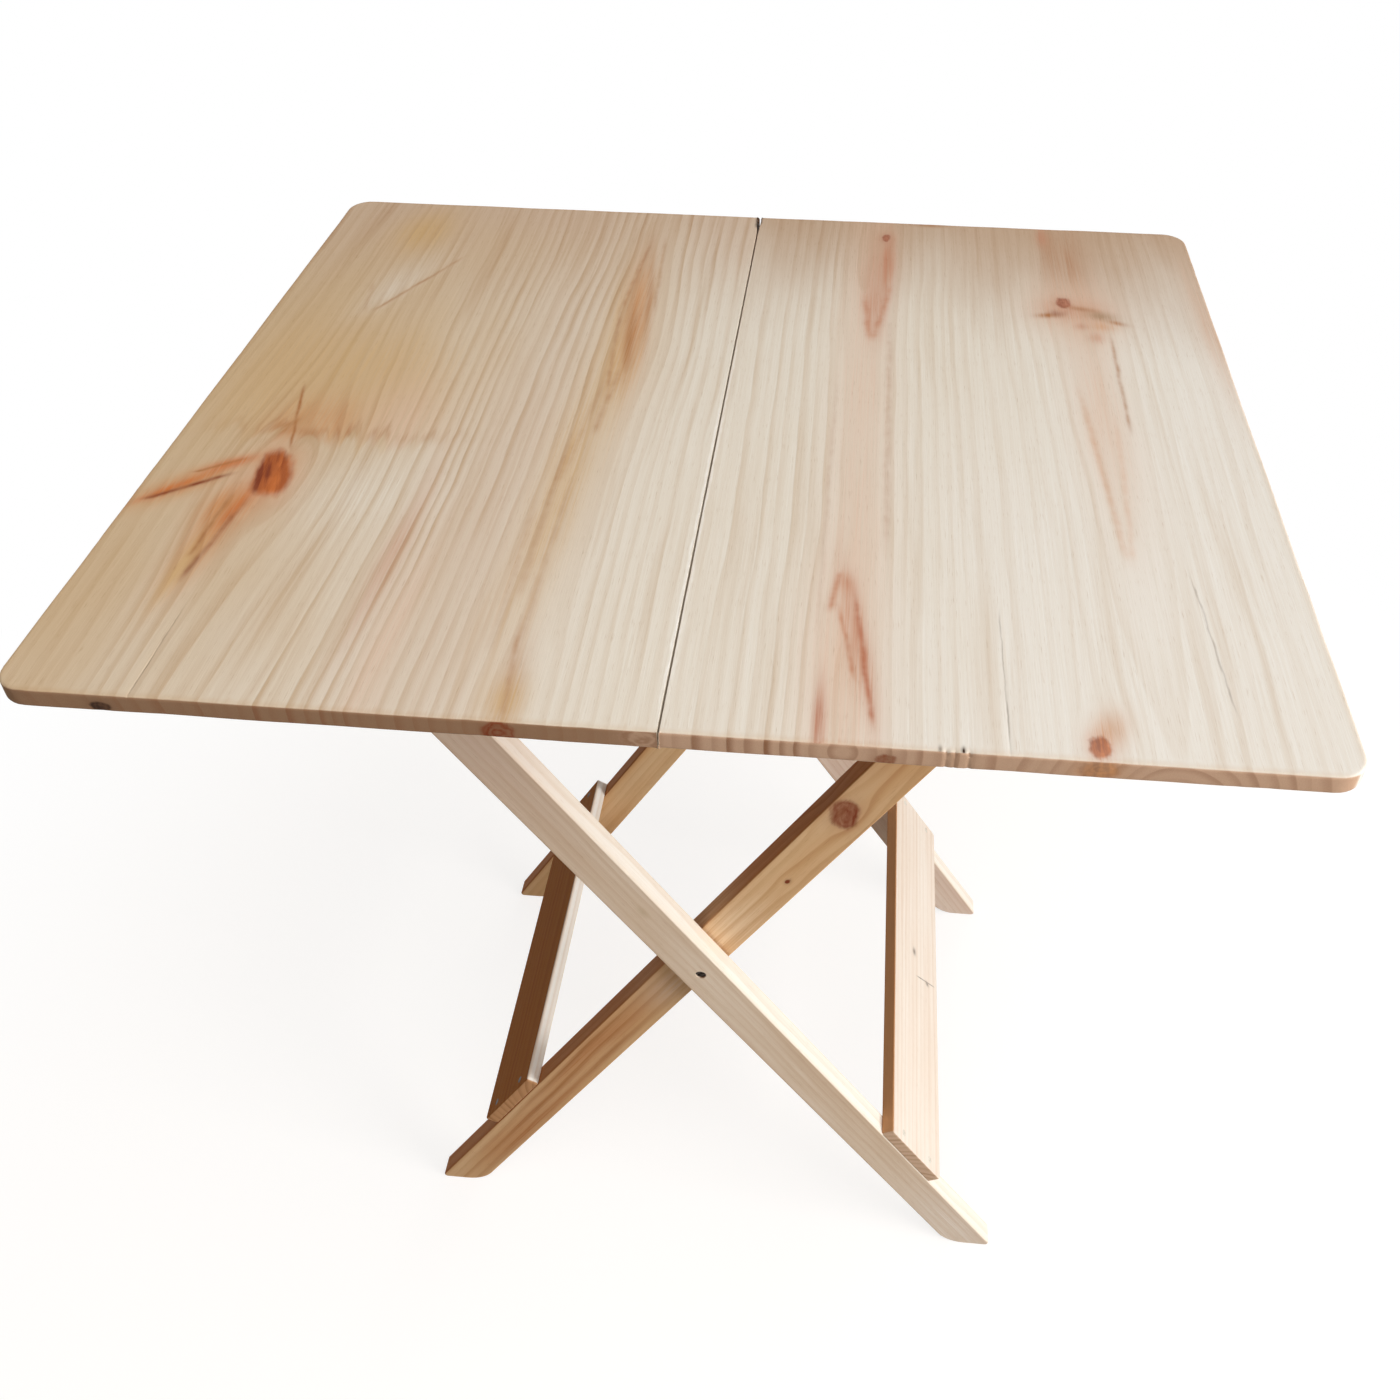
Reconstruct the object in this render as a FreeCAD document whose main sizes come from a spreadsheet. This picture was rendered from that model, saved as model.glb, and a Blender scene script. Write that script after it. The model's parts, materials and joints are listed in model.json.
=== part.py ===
import FreeCAD, Part
import os
import Sketcher

# A small folding pine table: a two-leaf top, hinged along its middle seam, on two crossed leg frames.
# The outer frame carries the left leaf and the inner frame carries the right leaf.
# X runs to the right across the crossed legs, Y away from the front edge, Z up.
# The origin is on the floor under the middle of the seam. All sizes are in millimetres.

SIZES = {
    # Top
    "table_width": 650,
    "table_depth": 560,
    "table_height": 700,
    "top_thickness": 11,
    "corner_radius": 16,
    "seam_gap": 2,
    "top_ease": 1.5,
    # Crossed legs
    "leg_width": 32,
    "leg_thickness": 16,
    "leg_ease": 1.2,
    "leg_top_flat": 0.5,
    "frame_width": 352,
    "frame_gap": 1.6,
    "crossing_height": 356,
    "pivot_spread": 193,
    "pivot_drop": 18,
    "foot_round": 26,
    "tip_round": 3,
    # Stretcher boards on the upper edges of the legs
    "stretcher_start": 233,
    "stretcher_width": 80,
    "stretcher_thickness": 10,
    "stretcher_round": 3,
    "stretcher_ease": 1,
    # Pivot cleats under the leaves
    "cleat_length": 64,
    "cleat_thickness": 18,
    "cleat_shoulder": 8,
    "cleat_reach": 14,
    "cleat_nose": 20,
    "cleat_nose_round": 9,
    "cleat_ease": 1,
    "cleat_gap": 0.6,
    # Bolts where the legs cross
    "bolt_radius": 2.5,
    "bolt_head_radius": 3.6,
    "bolt_head_height": 3,
    "bolt_head_recess": 1,
    "bolt_tail": 1.5,
    "bolt_slot_width": 1,
    "bolt_slot_depth": 1.2,
    "spacer_radius": 8,
    "spacer_thickness": 1.5,
    "washer_radius": 6,
    "washer_thickness": 1,
    "washer_gap": 0.1,
    "nut_across_corners": 9.2,
    "nut_height": 4,
    # Screws that the leaves turn on
    "pivot_screw_radius": 2.2,
    "pivot_screw_bite": 14,
    "pivot_head_radius": 4.2,
    "pivot_head_height": 2.8,
    "pivot_head_recess": 0.4,
    # Hinges under the seam
    "hinge_spread": 190,
    "hinge_length": 50,
    "hinge_plate_width": 20,
    "hinge_plate_thickness": 1.5,
    "hinge_pin_drop": 3.3,
    "hinge_barrel_radius": 3,
    "hinge_pin_radius": 1.4,
    "knuckle_gap": 0.3,
    "hinge_screw_radius": 1.5,
    "hinge_screw_head_radius": 2.8,
    "hinge_screw_length": 9,
    "hinge_screw_inset": 9,
    "hinge_screw_line": 12.5,
    # Screws that hold the cleats
    "cleat_screw_radius": 1.8,
    "cleat_screw_head_radius": 3.2,
    "cleat_screw_head_height": 2,
    "cleat_screw_grip": 9,
    "cleat_screw_bite": 7,
    "cleat_screw_spread": 22,
    # Nails that hold the stretchers
    "nail_radius": 1.3,
    "nail_head_radius": 2.6,
    "nail_head_height": 1,
    "nail_bite": 20,
    "nail_inset": 18,
    # Fits
    "running_clearance": 0.05,
    "driven_clearance": 0.02,
    "head_clearance": 0.2,
}

PLANE_AXES = {"XY_Plane": (0, 1, 2), "XZ_Plane": (0, 2, 1), "YZ_Plane": (1, 2, 0)}
TURNS = {
    "x": FreeCAD.Rotation(FreeCAD.Vector(0, 1, 0), 90),
    "y": FreeCAD.Rotation(FreeCAD.Vector(1, 0, 0), -90),
    "z": FreeCAD.Rotation(),
}
SIDES = {"near": -1, "far": 1}
FRAMES = {"outer": 1, "inner": -1}
LEAVES = {"left": -1, "right": 1}
ZERO = "0"
TOUCH = 1e-6

doc = FreeCAD.newDocument("folding_table")
sheet = doc.addObject("Spreadsheet::Sheet", "Sizes")
for row, (alias, value) in enumerate(SIZES.items(), start=1):
    sheet.set("A%d" % row, str(value))
    sheet.setAlias("A%d" % row, alias)
doc.recompute()

CELLS = {alias: "Sizes." + alias for alias in SIZES}
parts = []


def formula(text):
    """An expression in which each {alias} stands for a cell of the sheet."""
    return "(" + text.format(**CELLS) + ")"


def number(expression):
    """The present value of an expression."""
    value = sheet.evalExpression(expression)
    return float(getattr(value, "Value", value))


def signed(sign, expression):
    """The expression itself for a positive sign, its negative otherwise."""
    return expression if sign > 0 else "(-" + expression + ")"


def low_end(sign, inner, outer):
    """The lower coordinate of a span that runs from inner to outer on one side of a middle plane."""
    return inner if sign > 0 else "(-" + outer + ")"


UNDERSIDE = formula("{table_height} - {top_thickness}")
PIVOT_HEIGHT = formula("{table_height} - {top_thickness} - {pivot_drop}")
LEG_RISE = formula("{table_height} - {top_thickness} - {pivot_drop} - {crossing_height}")
LEG_ANGLE = "atan(%s / %s)" % (CELLS["pivot_spread"], LEG_RISE)
LEG_UPPER = "sqrt(%s ^ 2 + %s ^ 2)" % (CELLS["pivot_spread"], LEG_RISE)
HALF_LEG = formula("{leg_width} / 2")
FRAME_OUTER_FACE = {
    "outer": formula("{frame_width} / 2"),
    "inner": formula("{frame_width} / 2 - {leg_thickness} - {frame_gap}"),
}
FRAME_INNER_FACE = {
    "outer": formula("{frame_width} / 2 - {leg_thickness}"),
    "inner": formula("{frame_width} / 2 - 2 * {leg_thickness} - {frame_gap}"),
}
FRAME_MIDDLE = {
    "outer": formula("{frame_width} / 2 - {leg_thickness} / 2"),
    "inner": formula("{frame_width} / 2 - {leg_thickness} * 3 / 2 - {frame_gap}"),
}
# Each cleat stands beside the leg that turns on it: outside the outer legs, inside the inner legs.
CLEAT_SPAN = {
    "left": (
        formula("{frame_width} / 2 + {cleat_gap}"),
        formula("{frame_width} / 2 + {cleat_gap} + {cleat_thickness}"),
    ),
    "right": (
        formula("{frame_width} / 2 - 2 * {leg_thickness} - {frame_gap} - {cleat_gap} - {cleat_thickness}"),
        formula("{frame_width} / 2 - 2 * {leg_thickness} - {frame_gap} - {cleat_gap}"),
    ),
}
HINGE_AXIS_HEIGHT = formula("{table_height} - {top_thickness} - {hinge_pin_drop}")


def bind(obj, bindings):
    for path, expression in bindings.items():
        obj.setExpression(path, expression)


def bind_base(obj, base):
    for letter, expression in zip("xyz", base):
        obj.setExpression("Placement.Base." + letter, expression)


def box(name, low, size):
    obj = doc.addObject("Part::Box", name)
    bind(obj, dict(zip(("Length", "Width", "Height"), size)))
    bind_base(obj, low)
    return obj


def rod(name, axis, radius, length, base):
    """A round bar that runs along +X, +Y or +Z from its base point."""
    obj = doc.addObject("Part::Cylinder", name)
    obj.Placement = FreeCAD.Placement(FreeCAD.Vector(), TURNS[axis])
    bind(obj, {"Radius": radius, "Height": length})
    bind_base(obj, base)
    return obj


def cone(name, first_radius, second_radius, length, base):
    """A round taper that stands along +Z on its base point."""
    obj = doc.addObject("Part::Cone", name)
    bind(obj, {"Radius1": first_radius, "Radius2": second_radius, "Height": length})
    bind_base(obj, base)
    return obj


def difference(first, second):
    return formula("%s - %s" % (first, second))


def join(name, shapes):
    obj = doc.addObject("Part::MultiFuse", name)
    obj.Shapes = shapes
    return obj


def carve(name, base, tools):
    """The base with every tool taken out of it."""
    obj = doc.addObject("Part::Cut", name)
    obj.Base = base
    obj.Tool = join(name + "_tools", tools) if len(tools) > 1 else tools[0]
    return obj


def group(name, shapes):
    obj = doc.addObject("Part::Compound", name)
    obj.Links = shapes
    return obj


def keep(obj, label):
    """Marks an object as a finished sub-part."""
    obj.Label = label
    parts.append(obj)
    return obj


def stand_on_frame(obj, frame):
    """Tilts a piece that was made along a vertical leg, about the point where the legs cross."""
    tilt_axis = FreeCAD.Vector(0, -FRAMES[frame], 0)
    obj.Placement = FreeCAD.Placement(FreeCAD.Vector(), FreeCAD.Rotation(tilt_axis, number(LEG_ANGLE)))
    bind(obj, {"Placement.Base.z": CELLS["crossing_height"], "Placement.Rotation.Angle": LEG_ANGLE})
    return obj


def origin_plane(body, role):
    return [feature for feature in body.Origin.OriginFeatures if feature.Role == role][0]


def edge_names(feature, wanted):
    names = []
    for index, edge in enumerate(feature.Shape.Edges, start=1):
        if wanted(edge):
            names.append("Edge%d" % index)
    return names


def round_edges(body, name, base, edges, radius):
    fillet = body.newObject("PartDesign::Fillet", name)
    fillet.Base = (base, edges)
    fillet.setExpression("Radius", radius)
    doc.recompute()
    return fillet


def board(name, plane, corners, thickness, rounds, ease):
    """A flat board from a straight outline, centred on its plane, with rounded corners and eased edges.

    rounds gives the corners to round as radius expression to list of corner numbers.
    """
    body = doc.addObject("PartDesign::Body", name)
    sketch = body.newObject("Sketcher::SketchObject", name + "_outline")
    sketch.AttachmentSupport = [(origin_plane(body, plane), "")]
    sketch.MapMode = "FlatFace"
    points = [FreeCAD.Vector(number(across), number(up), 0) for across, up in corners]
    count = len(points)
    for index in range(count):
        sketch.addGeometry(Part.LineSegment(points[index], points[(index + 1) % count]), False)
    for index in range(count):
        sketch.addConstraint(Sketcher.Constraint("Coincident", index, 2, (index + 1) % count, 1))
    for index, (across, up) in enumerate(corners):
        places = (("DistanceX", across, points[index].x), ("DistanceY", up, points[index].y))
        for kind, expression, start in places:
            constraint = sketch.addConstraint(Sketcher.Constraint(kind, -1, 1, index, 1, start))
            constraint_name = "corner_%d_%s" % (index, kind[-1].lower())
            sketch.renameConstraint(constraint, constraint_name)
            sketch.setExpression("Constraints." + constraint_name, expression)
    tip = body.newObject("PartDesign::Pad", name + "_pad")
    tip.Profile = sketch
    tip.Midplane = True
    tip.setExpression("Length", thickness)
    doc.recompute()

    first_axis, second_axis, through_axis = PLANE_AXES[plane]

    def at_corner(edge, corner):
        for vertex in edge.Vertexes:
            first_gap = abs(vertex.Point[first_axis] - corner.x)
            second_gap = abs(vertex.Point[second_axis] - corner.y)
            if first_gap > TOUCH or second_gap > TOUCH:
                return False
        return True

    for number_of_round, (radius, corner_numbers) in enumerate(rounds.items()):
        chosen = [points[corner_number] for corner_number in corner_numbers]
        edges = edge_names(tip, lambda edge: any(at_corner(edge, corner) for corner in chosen))
        tip = round_edges(body, "%s_round_%d" % (name, number_of_round), tip, edges, radius)

    half = number(thickness) / 2

    def on_face(edge):
        depths = [vertex.Point[through_axis] for vertex in edge.Vertexes]
        return any(all(abs(depth - face) < TOUCH for depth in depths) for face in (-half, half))

    round_edges(body, name + "_ease", tip, edge_names(tip, on_face), ease)
    return body


def leg(frame, side):
    """A straight batten with a round top, a level foot and bores for its two pivots and its nails."""
    name = "%s_leg_%s" % (frame, side)
    frame_sign = FRAMES[frame]
    side_sign = SIDES[side]
    upper_edge = signed(frame_sign, HALF_LEG)
    lower_edge = signed(-frame_sign, HALF_LEG)
    top = "(%s + %s)" % (LEG_UPPER, HALF_LEG)
    crossing = CELLS["crossing_height"]
    foot_tip = "(-(%s + %s * sin(%s)) / cos(%s))" % (crossing, HALF_LEG, LEG_ANGLE, LEG_ANGLE)
    foot_heel = "(-(%s - %s * sin(%s)) / cos(%s))" % (crossing, HALF_LEG, LEG_ANGLE, LEG_ANGLE)
    corners = [(upper_edge, top), (lower_edge, top), (lower_edge, foot_heel), (upper_edge, foot_tip)]
    rounds = {
        formula("{leg_width} / 2 - {leg_top_flat}"): [0, 1],
        CELLS["foot_round"]: [2],
        CELLS["tip_round"]: [3],
    }
    blank = board(name + "_blank", "XZ_Plane", corners, CELLS["leg_thickness"], rounds, CELLS["leg_ease"])
    blank.setExpression("Placement.Base.y", signed(side_sign, FRAME_MIDDLE[frame]))

    outer_face = FRAME_OUTER_FACE[frame]
    inner_face = FRAME_INNER_FACE[frame]
    through = low_end(side_sign, inner_face, outer_face)
    bolt_bore = formula("{bolt_radius} + {running_clearance}")
    screw_bore = formula("{pivot_screw_radius} + {running_clearance}")
    tools = [
        rod(name + "_bolt_bore", "y", bolt_bore, CELLS["leg_thickness"], (ZERO, through, ZERO)),
        rod(name + "_screw_bore", "y", screw_bore, CELLS["leg_thickness"], (ZERO, through, LEG_UPPER)),
    ]
    screw_head_bore = formula("{pivot_head_radius} + {head_clearance}")
    screw_head_depth = formula("{pivot_head_height} + {pivot_head_recess} + {washer_gap}")
    if frame == "outer":
        bolt_head_bore = formula("{bolt_head_radius} + {head_clearance}")
        bolt_head_depth = formula("{bolt_head_height} + {bolt_head_recess}")
        bolt_head_low = low_end(side_sign, difference(outer_face, bolt_head_depth), outer_face)
        tools.append(
            rod(name + "_bolt_recess", "y", bolt_head_bore, bolt_head_depth, (ZERO, bolt_head_low, ZERO))
        )
        screw_head_low = low_end(side_sign, inner_face, "(%s + %s)" % (inner_face, screw_head_depth))
    else:
        screw_head_low = low_end(side_sign, difference(outer_face, screw_head_depth), outer_face)
    tools.append(
        rod(name + "_screw_recess", "y", screw_head_bore, screw_head_depth, (ZERO, screw_head_low, LEG_UPPER))
    )
    tools += nails(name + "_nail_bore", frame, [side], CELLS["driven_clearance"])
    return keep(stand_on_frame(carve(name, blank, tools), frame), name)


def nails(name, frame, sides, clearance):
    """The nails at one or both ends of a stretcher, or with a clearance the holes that they fill."""
    frame_sign = FRAMES[frame]
    face = formula("{leg_width} / 2 + {stretcher_thickness}")
    head_base = difference(face, CELLS["nail_head_height"])
    point = formula("{leg_width} / 2 - {nail_bite}")
    shank_radius = "(%s + %s)" % (CELLS["nail_radius"], clearance)
    head_radius = "(%s + %s)" % (CELLS["nail_head_radius"], clearance)
    heights = (
        formula("-({stretcher_start} + {nail_inset})"),
        formula("-({stretcher_start} + {stretcher_width} - {nail_inset})"),
    )
    shapes = []
    for side in sides:
        depth = signed(SIDES[side], FRAME_MIDDLE[frame])
        for index, height in enumerate(heights):
            label = "%s_%s_%d" % (name, side, index)
            shank_low = low_end(frame_sign, point, face)
            head_low = low_end(frame_sign, head_base, face)
            shank = rod(
                label + "_shank", "x", shank_radius, difference(face, point), (shank_low, depth, height)
            )
            head = rod(
                label + "_head", "x", head_radius, CELLS["nail_head_height"], (head_low, depth, height)
            )
            shapes.append(join(label, [shank, head]))
    return shapes


def stretcher(frame):
    """A flat board nailed across the upper edges of a frame's legs, its ends flush with their faces."""
    name = frame + "_stretcher"
    half_length = FRAME_OUTER_FACE[frame]
    upper = formula("-{stretcher_start}")
    lower = formula("-({stretcher_start} + {stretcher_width})")
    corners = [
        ("(-%s)" % half_length, lower),
        (half_length, lower),
        (half_length, upper),
        ("(-%s)" % half_length, upper),
    ]
    rounds = {CELLS["stretcher_round"]: [0, 1, 2, 3]}
    thickness = CELLS["stretcher_thickness"]
    blank = board(name + "_blank", "YZ_Plane", corners, thickness, rounds, CELLS["stretcher_ease"])
    middle = formula("({leg_width} + {stretcher_thickness}) / 2")
    blank.setExpression("Placement.Base.x", signed(FRAMES[frame], middle))
    holes = nails(name + "_nail_hole", frame, list(SIDES), CELLS["driven_clearance"])
    keep(stand_on_frame(carve(name, blank, holes), frame), name)
    nail_name = name + "_nails"
    nail_group = group(nail_name, nails(nail_name + "_one", frame, list(SIDES), ZERO))
    keep(stand_on_frame(nail_group, frame), nail_name)


def crossing_bolt(side):
    """The bolt, spacer, washer and nut that hold an outer and an inner leg together where they cross."""
    side_sign = SIDES[side]
    head_top = difference(FRAME_OUTER_FACE["outer"], CELLS["bolt_head_recess"])
    head_base = difference(head_top, CELLS["bolt_head_height"])
    spacer_top = FRAME_INNER_FACE["outer"]
    spacer_base = difference(spacer_top, CELLS["spacer_thickness"])
    washer_top = difference(FRAME_INNER_FACE["inner"], CELLS["washer_gap"])
    washer_base = difference(washer_top, CELLS["washer_thickness"])
    nut_base = difference(washer_base, CELLS["nut_height"])
    tail = difference(nut_base, CELLS["bolt_tail"])
    bolt_name = "scissor_bolt_" + side
    shank = rod(
        bolt_name + "_shank", "y", CELLS["bolt_radius"], difference(head_base, tail),
        (ZERO, low_end(side_sign, tail, head_base), ZERO),
    )
    head = rod(
        bolt_name + "_head", "y", CELLS["bolt_head_radius"], CELLS["bolt_head_height"],
        (ZERO, low_end(side_sign, head_base, head_top), ZERO),
    )
    slot_low = low_end(side_sign, difference(head_top, CELLS["bolt_slot_depth"]), head_top)
    slot = box(
        bolt_name + "_slot",
        (formula("-{bolt_head_radius}"), slot_low, formula("-{bolt_slot_width} / 2")),
        (formula("2 * {bolt_head_radius}"), CELLS["bolt_slot_depth"], CELLS["bolt_slot_width"]),
    )
    bolt = carve(bolt_name, join(bolt_name + "_body", [shank, head]), [slot])
    keep(stand_on_frame(bolt, "outer"), bolt_name)

    bore_radius = formula("{bolt_radius} + {driven_clearance}")

    def ring(name, radius, low, high):
        height = difference(high, low)
        base = (ZERO, low_end(side_sign, low, high), ZERO)
        disc = rod(name + "_disc", "y", radius, height, base)
        hole = rod(name + "_hole", "y", bore_radius, height, base)
        keep(stand_on_frame(carve(name, disc, [hole]), "outer"), name)

    ring("scissor_spacer_" + side, CELLS["spacer_radius"], spacer_base, spacer_top)
    ring("scissor_washer_" + side, CELLS["washer_radius"], washer_base, washer_top)

    nut_name = "scissor_nut_" + side
    nut_low = (ZERO, low_end(side_sign, nut_base, washer_base), ZERO)
    hexagon = doc.addObject("Part::Prism", nut_name + "_hexagon")
    hexagon.Polygon = 6
    hexagon.Placement = FreeCAD.Placement(FreeCAD.Vector(), TURNS["y"])
    bind(hexagon, {"Circumradius": formula("{nut_across_corners} / 2"), "Height": CELLS["nut_height"]})
    bind_base(hexagon, nut_low)
    nut_hole = rod(nut_name + "_hole", "y", bore_radius, CELLS["nut_height"], nut_low)
    keep(stand_on_frame(carve(nut_name, hexagon, [nut_hole]), "outer"), nut_name)


def pivot_screw(leaf, side):
    """The screw that a leg top turns on. Its head lies in the leg, towards the other frame."""
    side_sign = SIDES[side]
    leaf_sign = LEAVES[leaf]
    name = "%s_pivot_screw_%s" % (leaf, side)
    pivot_x = signed(leaf_sign, CELLS["pivot_spread"])
    if leaf == "left":
        head_low = "(%s + %s)" % (FRAME_INNER_FACE["outer"], CELLS["pivot_head_recess"])
        head_high = "(%s + %s)" % (head_low, CELLS["pivot_head_height"])
        shank_low = head_high
        shank_high = "(%s + %s)" % (CLEAT_SPAN["left"][0], CELLS["pivot_screw_bite"])
    else:
        # The right pivot is the one where the closed linkage is opened: this screw ends at the leg's face.
        head_high = difference(FRAME_OUTER_FACE["inner"], CELLS["pivot_head_recess"])
        head_low = difference(head_high, CELLS["pivot_head_height"])
        shank_low = FRAME_INNER_FACE["inner"]
        shank_high = head_low
    head = rod(
        name + "_head", "y", CELLS["pivot_head_radius"], CELLS["pivot_head_height"],
        (pivot_x, low_end(side_sign, head_low, head_high), PIVOT_HEIGHT),
    )
    shank = rod(
        name + "_shank", "y", CELLS["pivot_screw_radius"], difference(shank_high, shank_low),
        (pivot_x, low_end(side_sign, shank_low, shank_high), PIVOT_HEIGHT),
    )
    keep(join(name, [head, shank]), name)


def cleat_screws(name, leaf, side, clearance, open_below):
    """The two upright screws of one cleat, or with a clearance the holes that they fill."""
    leaf_sign = LEAVES[leaf]
    low, high = CLEAT_SPAN[leaf]
    depth = signed(SIDES[side], formula("(%s + %s) / 2" % (low, high)))
    head_top = difference(UNDERSIDE, CELLS["cleat_screw_grip"])
    head_height = "(%s + %s)" % (CELLS["cleat_screw_head_height"], open_below)
    shank_length = formula("{cleat_screw_grip} + {cleat_screw_bite} + " + clearance)
    shapes = []
    for index, direction in enumerate((-1, 1)):
        offset = signed(direction, CELLS["cleat_screw_spread"])
        across = "(%s + %s)" % (signed(leaf_sign, CELLS["pivot_spread"]), offset)
        label = "%s_%s_%d" % (name, side, index)
        head = rod(
            label + "_head", "z", "(%s + %s)" % (CELLS["cleat_screw_head_radius"], clearance), head_height,
            (across, depth, difference(head_top, head_height)),
        )
        shank = rod(
            label + "_shank", "z", "(%s + %s)" % (CELLS["cleat_screw_radius"], clearance), shank_length,
            (across, depth, head_top),
        )
        shapes.append(join(label, [head, shank]))
    return shapes


def cleat(leaf, side):
    """A wooden ear screwed under a leaf, with a blunt nose around the pivot."""
    name = "%s_cleat_%s" % (leaf, side)
    half_length = formula("{cleat_length} / 2")
    half_nose = formula("{cleat_nose} / 2")
    seat = CELLS["pivot_drop"]
    shoulder = formula("{pivot_drop} - {cleat_shoulder}")
    nose = formula("-{cleat_reach}")
    corners = [
        (half_length, seat),
        ("(-%s)" % half_length, seat),
        ("(-%s)" % half_length, shoulder),
        ("(-%s)" % half_nose, nose),
        (half_nose, nose),
        (half_length, shoulder),
    ]
    rounds = {CELLS["cleat_nose_round"]: [3, 4]}
    blank = board(name + "_blank", "XZ_Plane", corners, CELLS["cleat_thickness"], rounds, CELLS["cleat_ease"])
    low, high = CLEAT_SPAN[leaf]
    pivot_x = signed(LEAVES[leaf], CELLS["pivot_spread"])
    middle = signed(SIDES[side], formula("(%s + %s) / 2" % (low, high)))
    bind_base(blank, (pivot_x, middle, PIVOT_HEIGHT))
    pilot_radius = formula("{pivot_screw_radius} + {driven_clearance}")
    pilot = rod(
        name + "_pilot", "y", pilot_radius, CELLS["cleat_thickness"],
        (pivot_x, low_end(SIDES[side], low, high), PIVOT_HEIGHT),
    )
    holes = cleat_screws(name + "_hole", leaf, side, CELLS["driven_clearance"], formula("{pivot_drop}"))
    keep(carve(name, blank, [pilot] + holes), name)


def hinge_screws(name, leaf, side, clearance):
    """The two flat-head screws of one hinge plate, or with a clearance the holes that they fill."""
    across = signed(LEAVES[leaf], CELLS["hinge_screw_line"])
    plate_low = difference(UNDERSIDE, CELLS["hinge_plate_thickness"])
    shapes = []
    for index, direction in enumerate((-1, 1)):
        offset = signed(direction, formula("{hinge_length} / 2 - {hinge_screw_inset}"))
        depth = "(%s + %s)" % (signed(SIDES[side], CELLS["hinge_spread"]), offset)
        label = "%s_%s_%d" % (name, side, index)
        head = cone(
            label + "_head",
            "(%s + %s)" % (CELLS["hinge_screw_head_radius"], clearance),
            "(%s + %s)" % (CELLS["hinge_screw_radius"], clearance),
            CELLS["hinge_plate_thickness"],
            (across, depth, plate_low),
        )
        shank = rod(
            label + "_shank", "z", "(%s + %s)" % (CELLS["hinge_screw_radius"], clearance),
            "(%s + %s)" % (CELLS["hinge_screw_length"], clearance),
            (across, depth, plate_low),
        )
        shapes.append(join(label, [head, shank]))
    return shapes


def hinge_plate(leaf, side):
    """One plate of a seam hinge, with the two end knuckles on the left or the middle one on the right."""
    name = "hinge_%s_plate_%s" % (leaf, side)
    leaf_sign = LEAVES[leaf]
    middle = signed(SIDES[side], CELLS["hinge_spread"])
    hinge_start = "(%s - %s / 2)" % (middle, CELLS["hinge_length"])
    plate_low = difference(UNDERSIDE, CELLS["hinge_plate_thickness"])
    plate_inner = formula("{hinge_barrel_radius} + {knuckle_gap}")
    plate_outer = CELLS["hinge_plate_width"]
    plate_width = difference(plate_outer, plate_inner)
    plate = box(
        name + "_flat",
        (low_end(leaf_sign, plate_inner, plate_outer), hinge_start, plate_low),
        (plate_width, CELLS["hinge_length"], CELLS["hinge_plate_thickness"]),
    )
    pitch = formula("({hinge_length} + {knuckle_gap}) / 3")
    knuckle_length = difference(pitch, CELLS["knuckle_gap"])
    solids = [plate]
    for index in ((0, 2) if leaf == "left" else (1,)):
        knuckle_start = "(%s + %d * %s)" % (hinge_start, index, pitch)
        solids.append(rod(
            "%s_knuckle_%d" % (name, index), "y", CELLS["hinge_barrel_radius"], knuckle_length,
            (ZERO, knuckle_start, HINGE_AXIS_HEIGHT),
        ))
        web_top = formula("{hinge_barrel_radius} - {hinge_pin_drop} + {hinge_plate_thickness}")
        solids.append(box(
            "%s_web_%d" % (name, index),
            (low_end(leaf_sign, ZERO, plate_inner), knuckle_start, plate_low),
            (plate_inner, knuckle_length, web_top),
        ))
    pin_bore = rod(
        name + "_pin_bore", "y", formula("{hinge_pin_radius} + {running_clearance}"), CELLS["hinge_length"],
        (ZERO, hinge_start, HINGE_AXIS_HEIGHT),
    )
    holes = hinge_screws(name + "_hole", leaf, side, CELLS["driven_clearance"])
    keep(carve(name, join(name + "_body", solids), [pin_bore] + holes), name)


def hinge_pin(side):
    name = "hinge_pin_" + side
    start = "(%s - %s / 2)" % (signed(SIDES[side], CELLS["hinge_spread"]), CELLS["hinge_length"])
    pin = rod(name, "y", CELLS["hinge_pin_radius"], CELLS["hinge_length"], (ZERO, start, HINGE_AXIS_HEIGHT))
    keep(pin, name)


def leaf_board(leaf):
    """Half of the top: a board with two rounded outer corners and pilot holes in its underside."""
    name = leaf + "_leaf_board"
    leaf_sign = LEAVES[leaf]
    seam_edge = signed(leaf_sign, formula("{seam_gap} / 2"))
    outer_edge = signed(leaf_sign, formula("{table_width} / 2"))
    half_depth = formula("{table_depth} / 2")
    corners = [
        (seam_edge, "(-%s)" % half_depth),
        (outer_edge, "(-%s)" % half_depth),
        (outer_edge, half_depth),
        (seam_edge, half_depth),
    ]
    rounds = {CELLS["corner_radius"]: [1, 2]}
    blank = board(name + "_blank", "XY_Plane", corners, CELLS["top_thickness"], rounds, CELLS["top_ease"])
    blank.setExpression("Placement.Base.z", formula("{table_height} - {top_thickness} / 2"))
    holes = []
    for side in SIDES:
        holes += hinge_screws(name + "_hinge_hole", leaf, side, CELLS["driven_clearance"])
        holes += cleat_screws(name + "_cleat_hole", leaf, side, CELLS["driven_clearance"], ZERO)
    keep(carve(name, blank, holes), name)


def leaf_screws(leaf):
    """The screws that hold the cleats and the hinge plates under one leaf."""
    cleat_group = leaf + "_cleat_screws"
    hinge_group = "hinge_%s_screws" % leaf
    in_cleats = []
    in_hinges = []
    for side in SIDES:
        in_cleats += cleat_screws(cleat_group + "_one", leaf, side, ZERO, ZERO)
        in_hinges += hinge_screws(hinge_group + "_one", leaf, side, ZERO)
    keep(group(cleat_group, in_cleats), cleat_group)
    keep(group(hinge_group, in_hinges), hinge_group)


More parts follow.
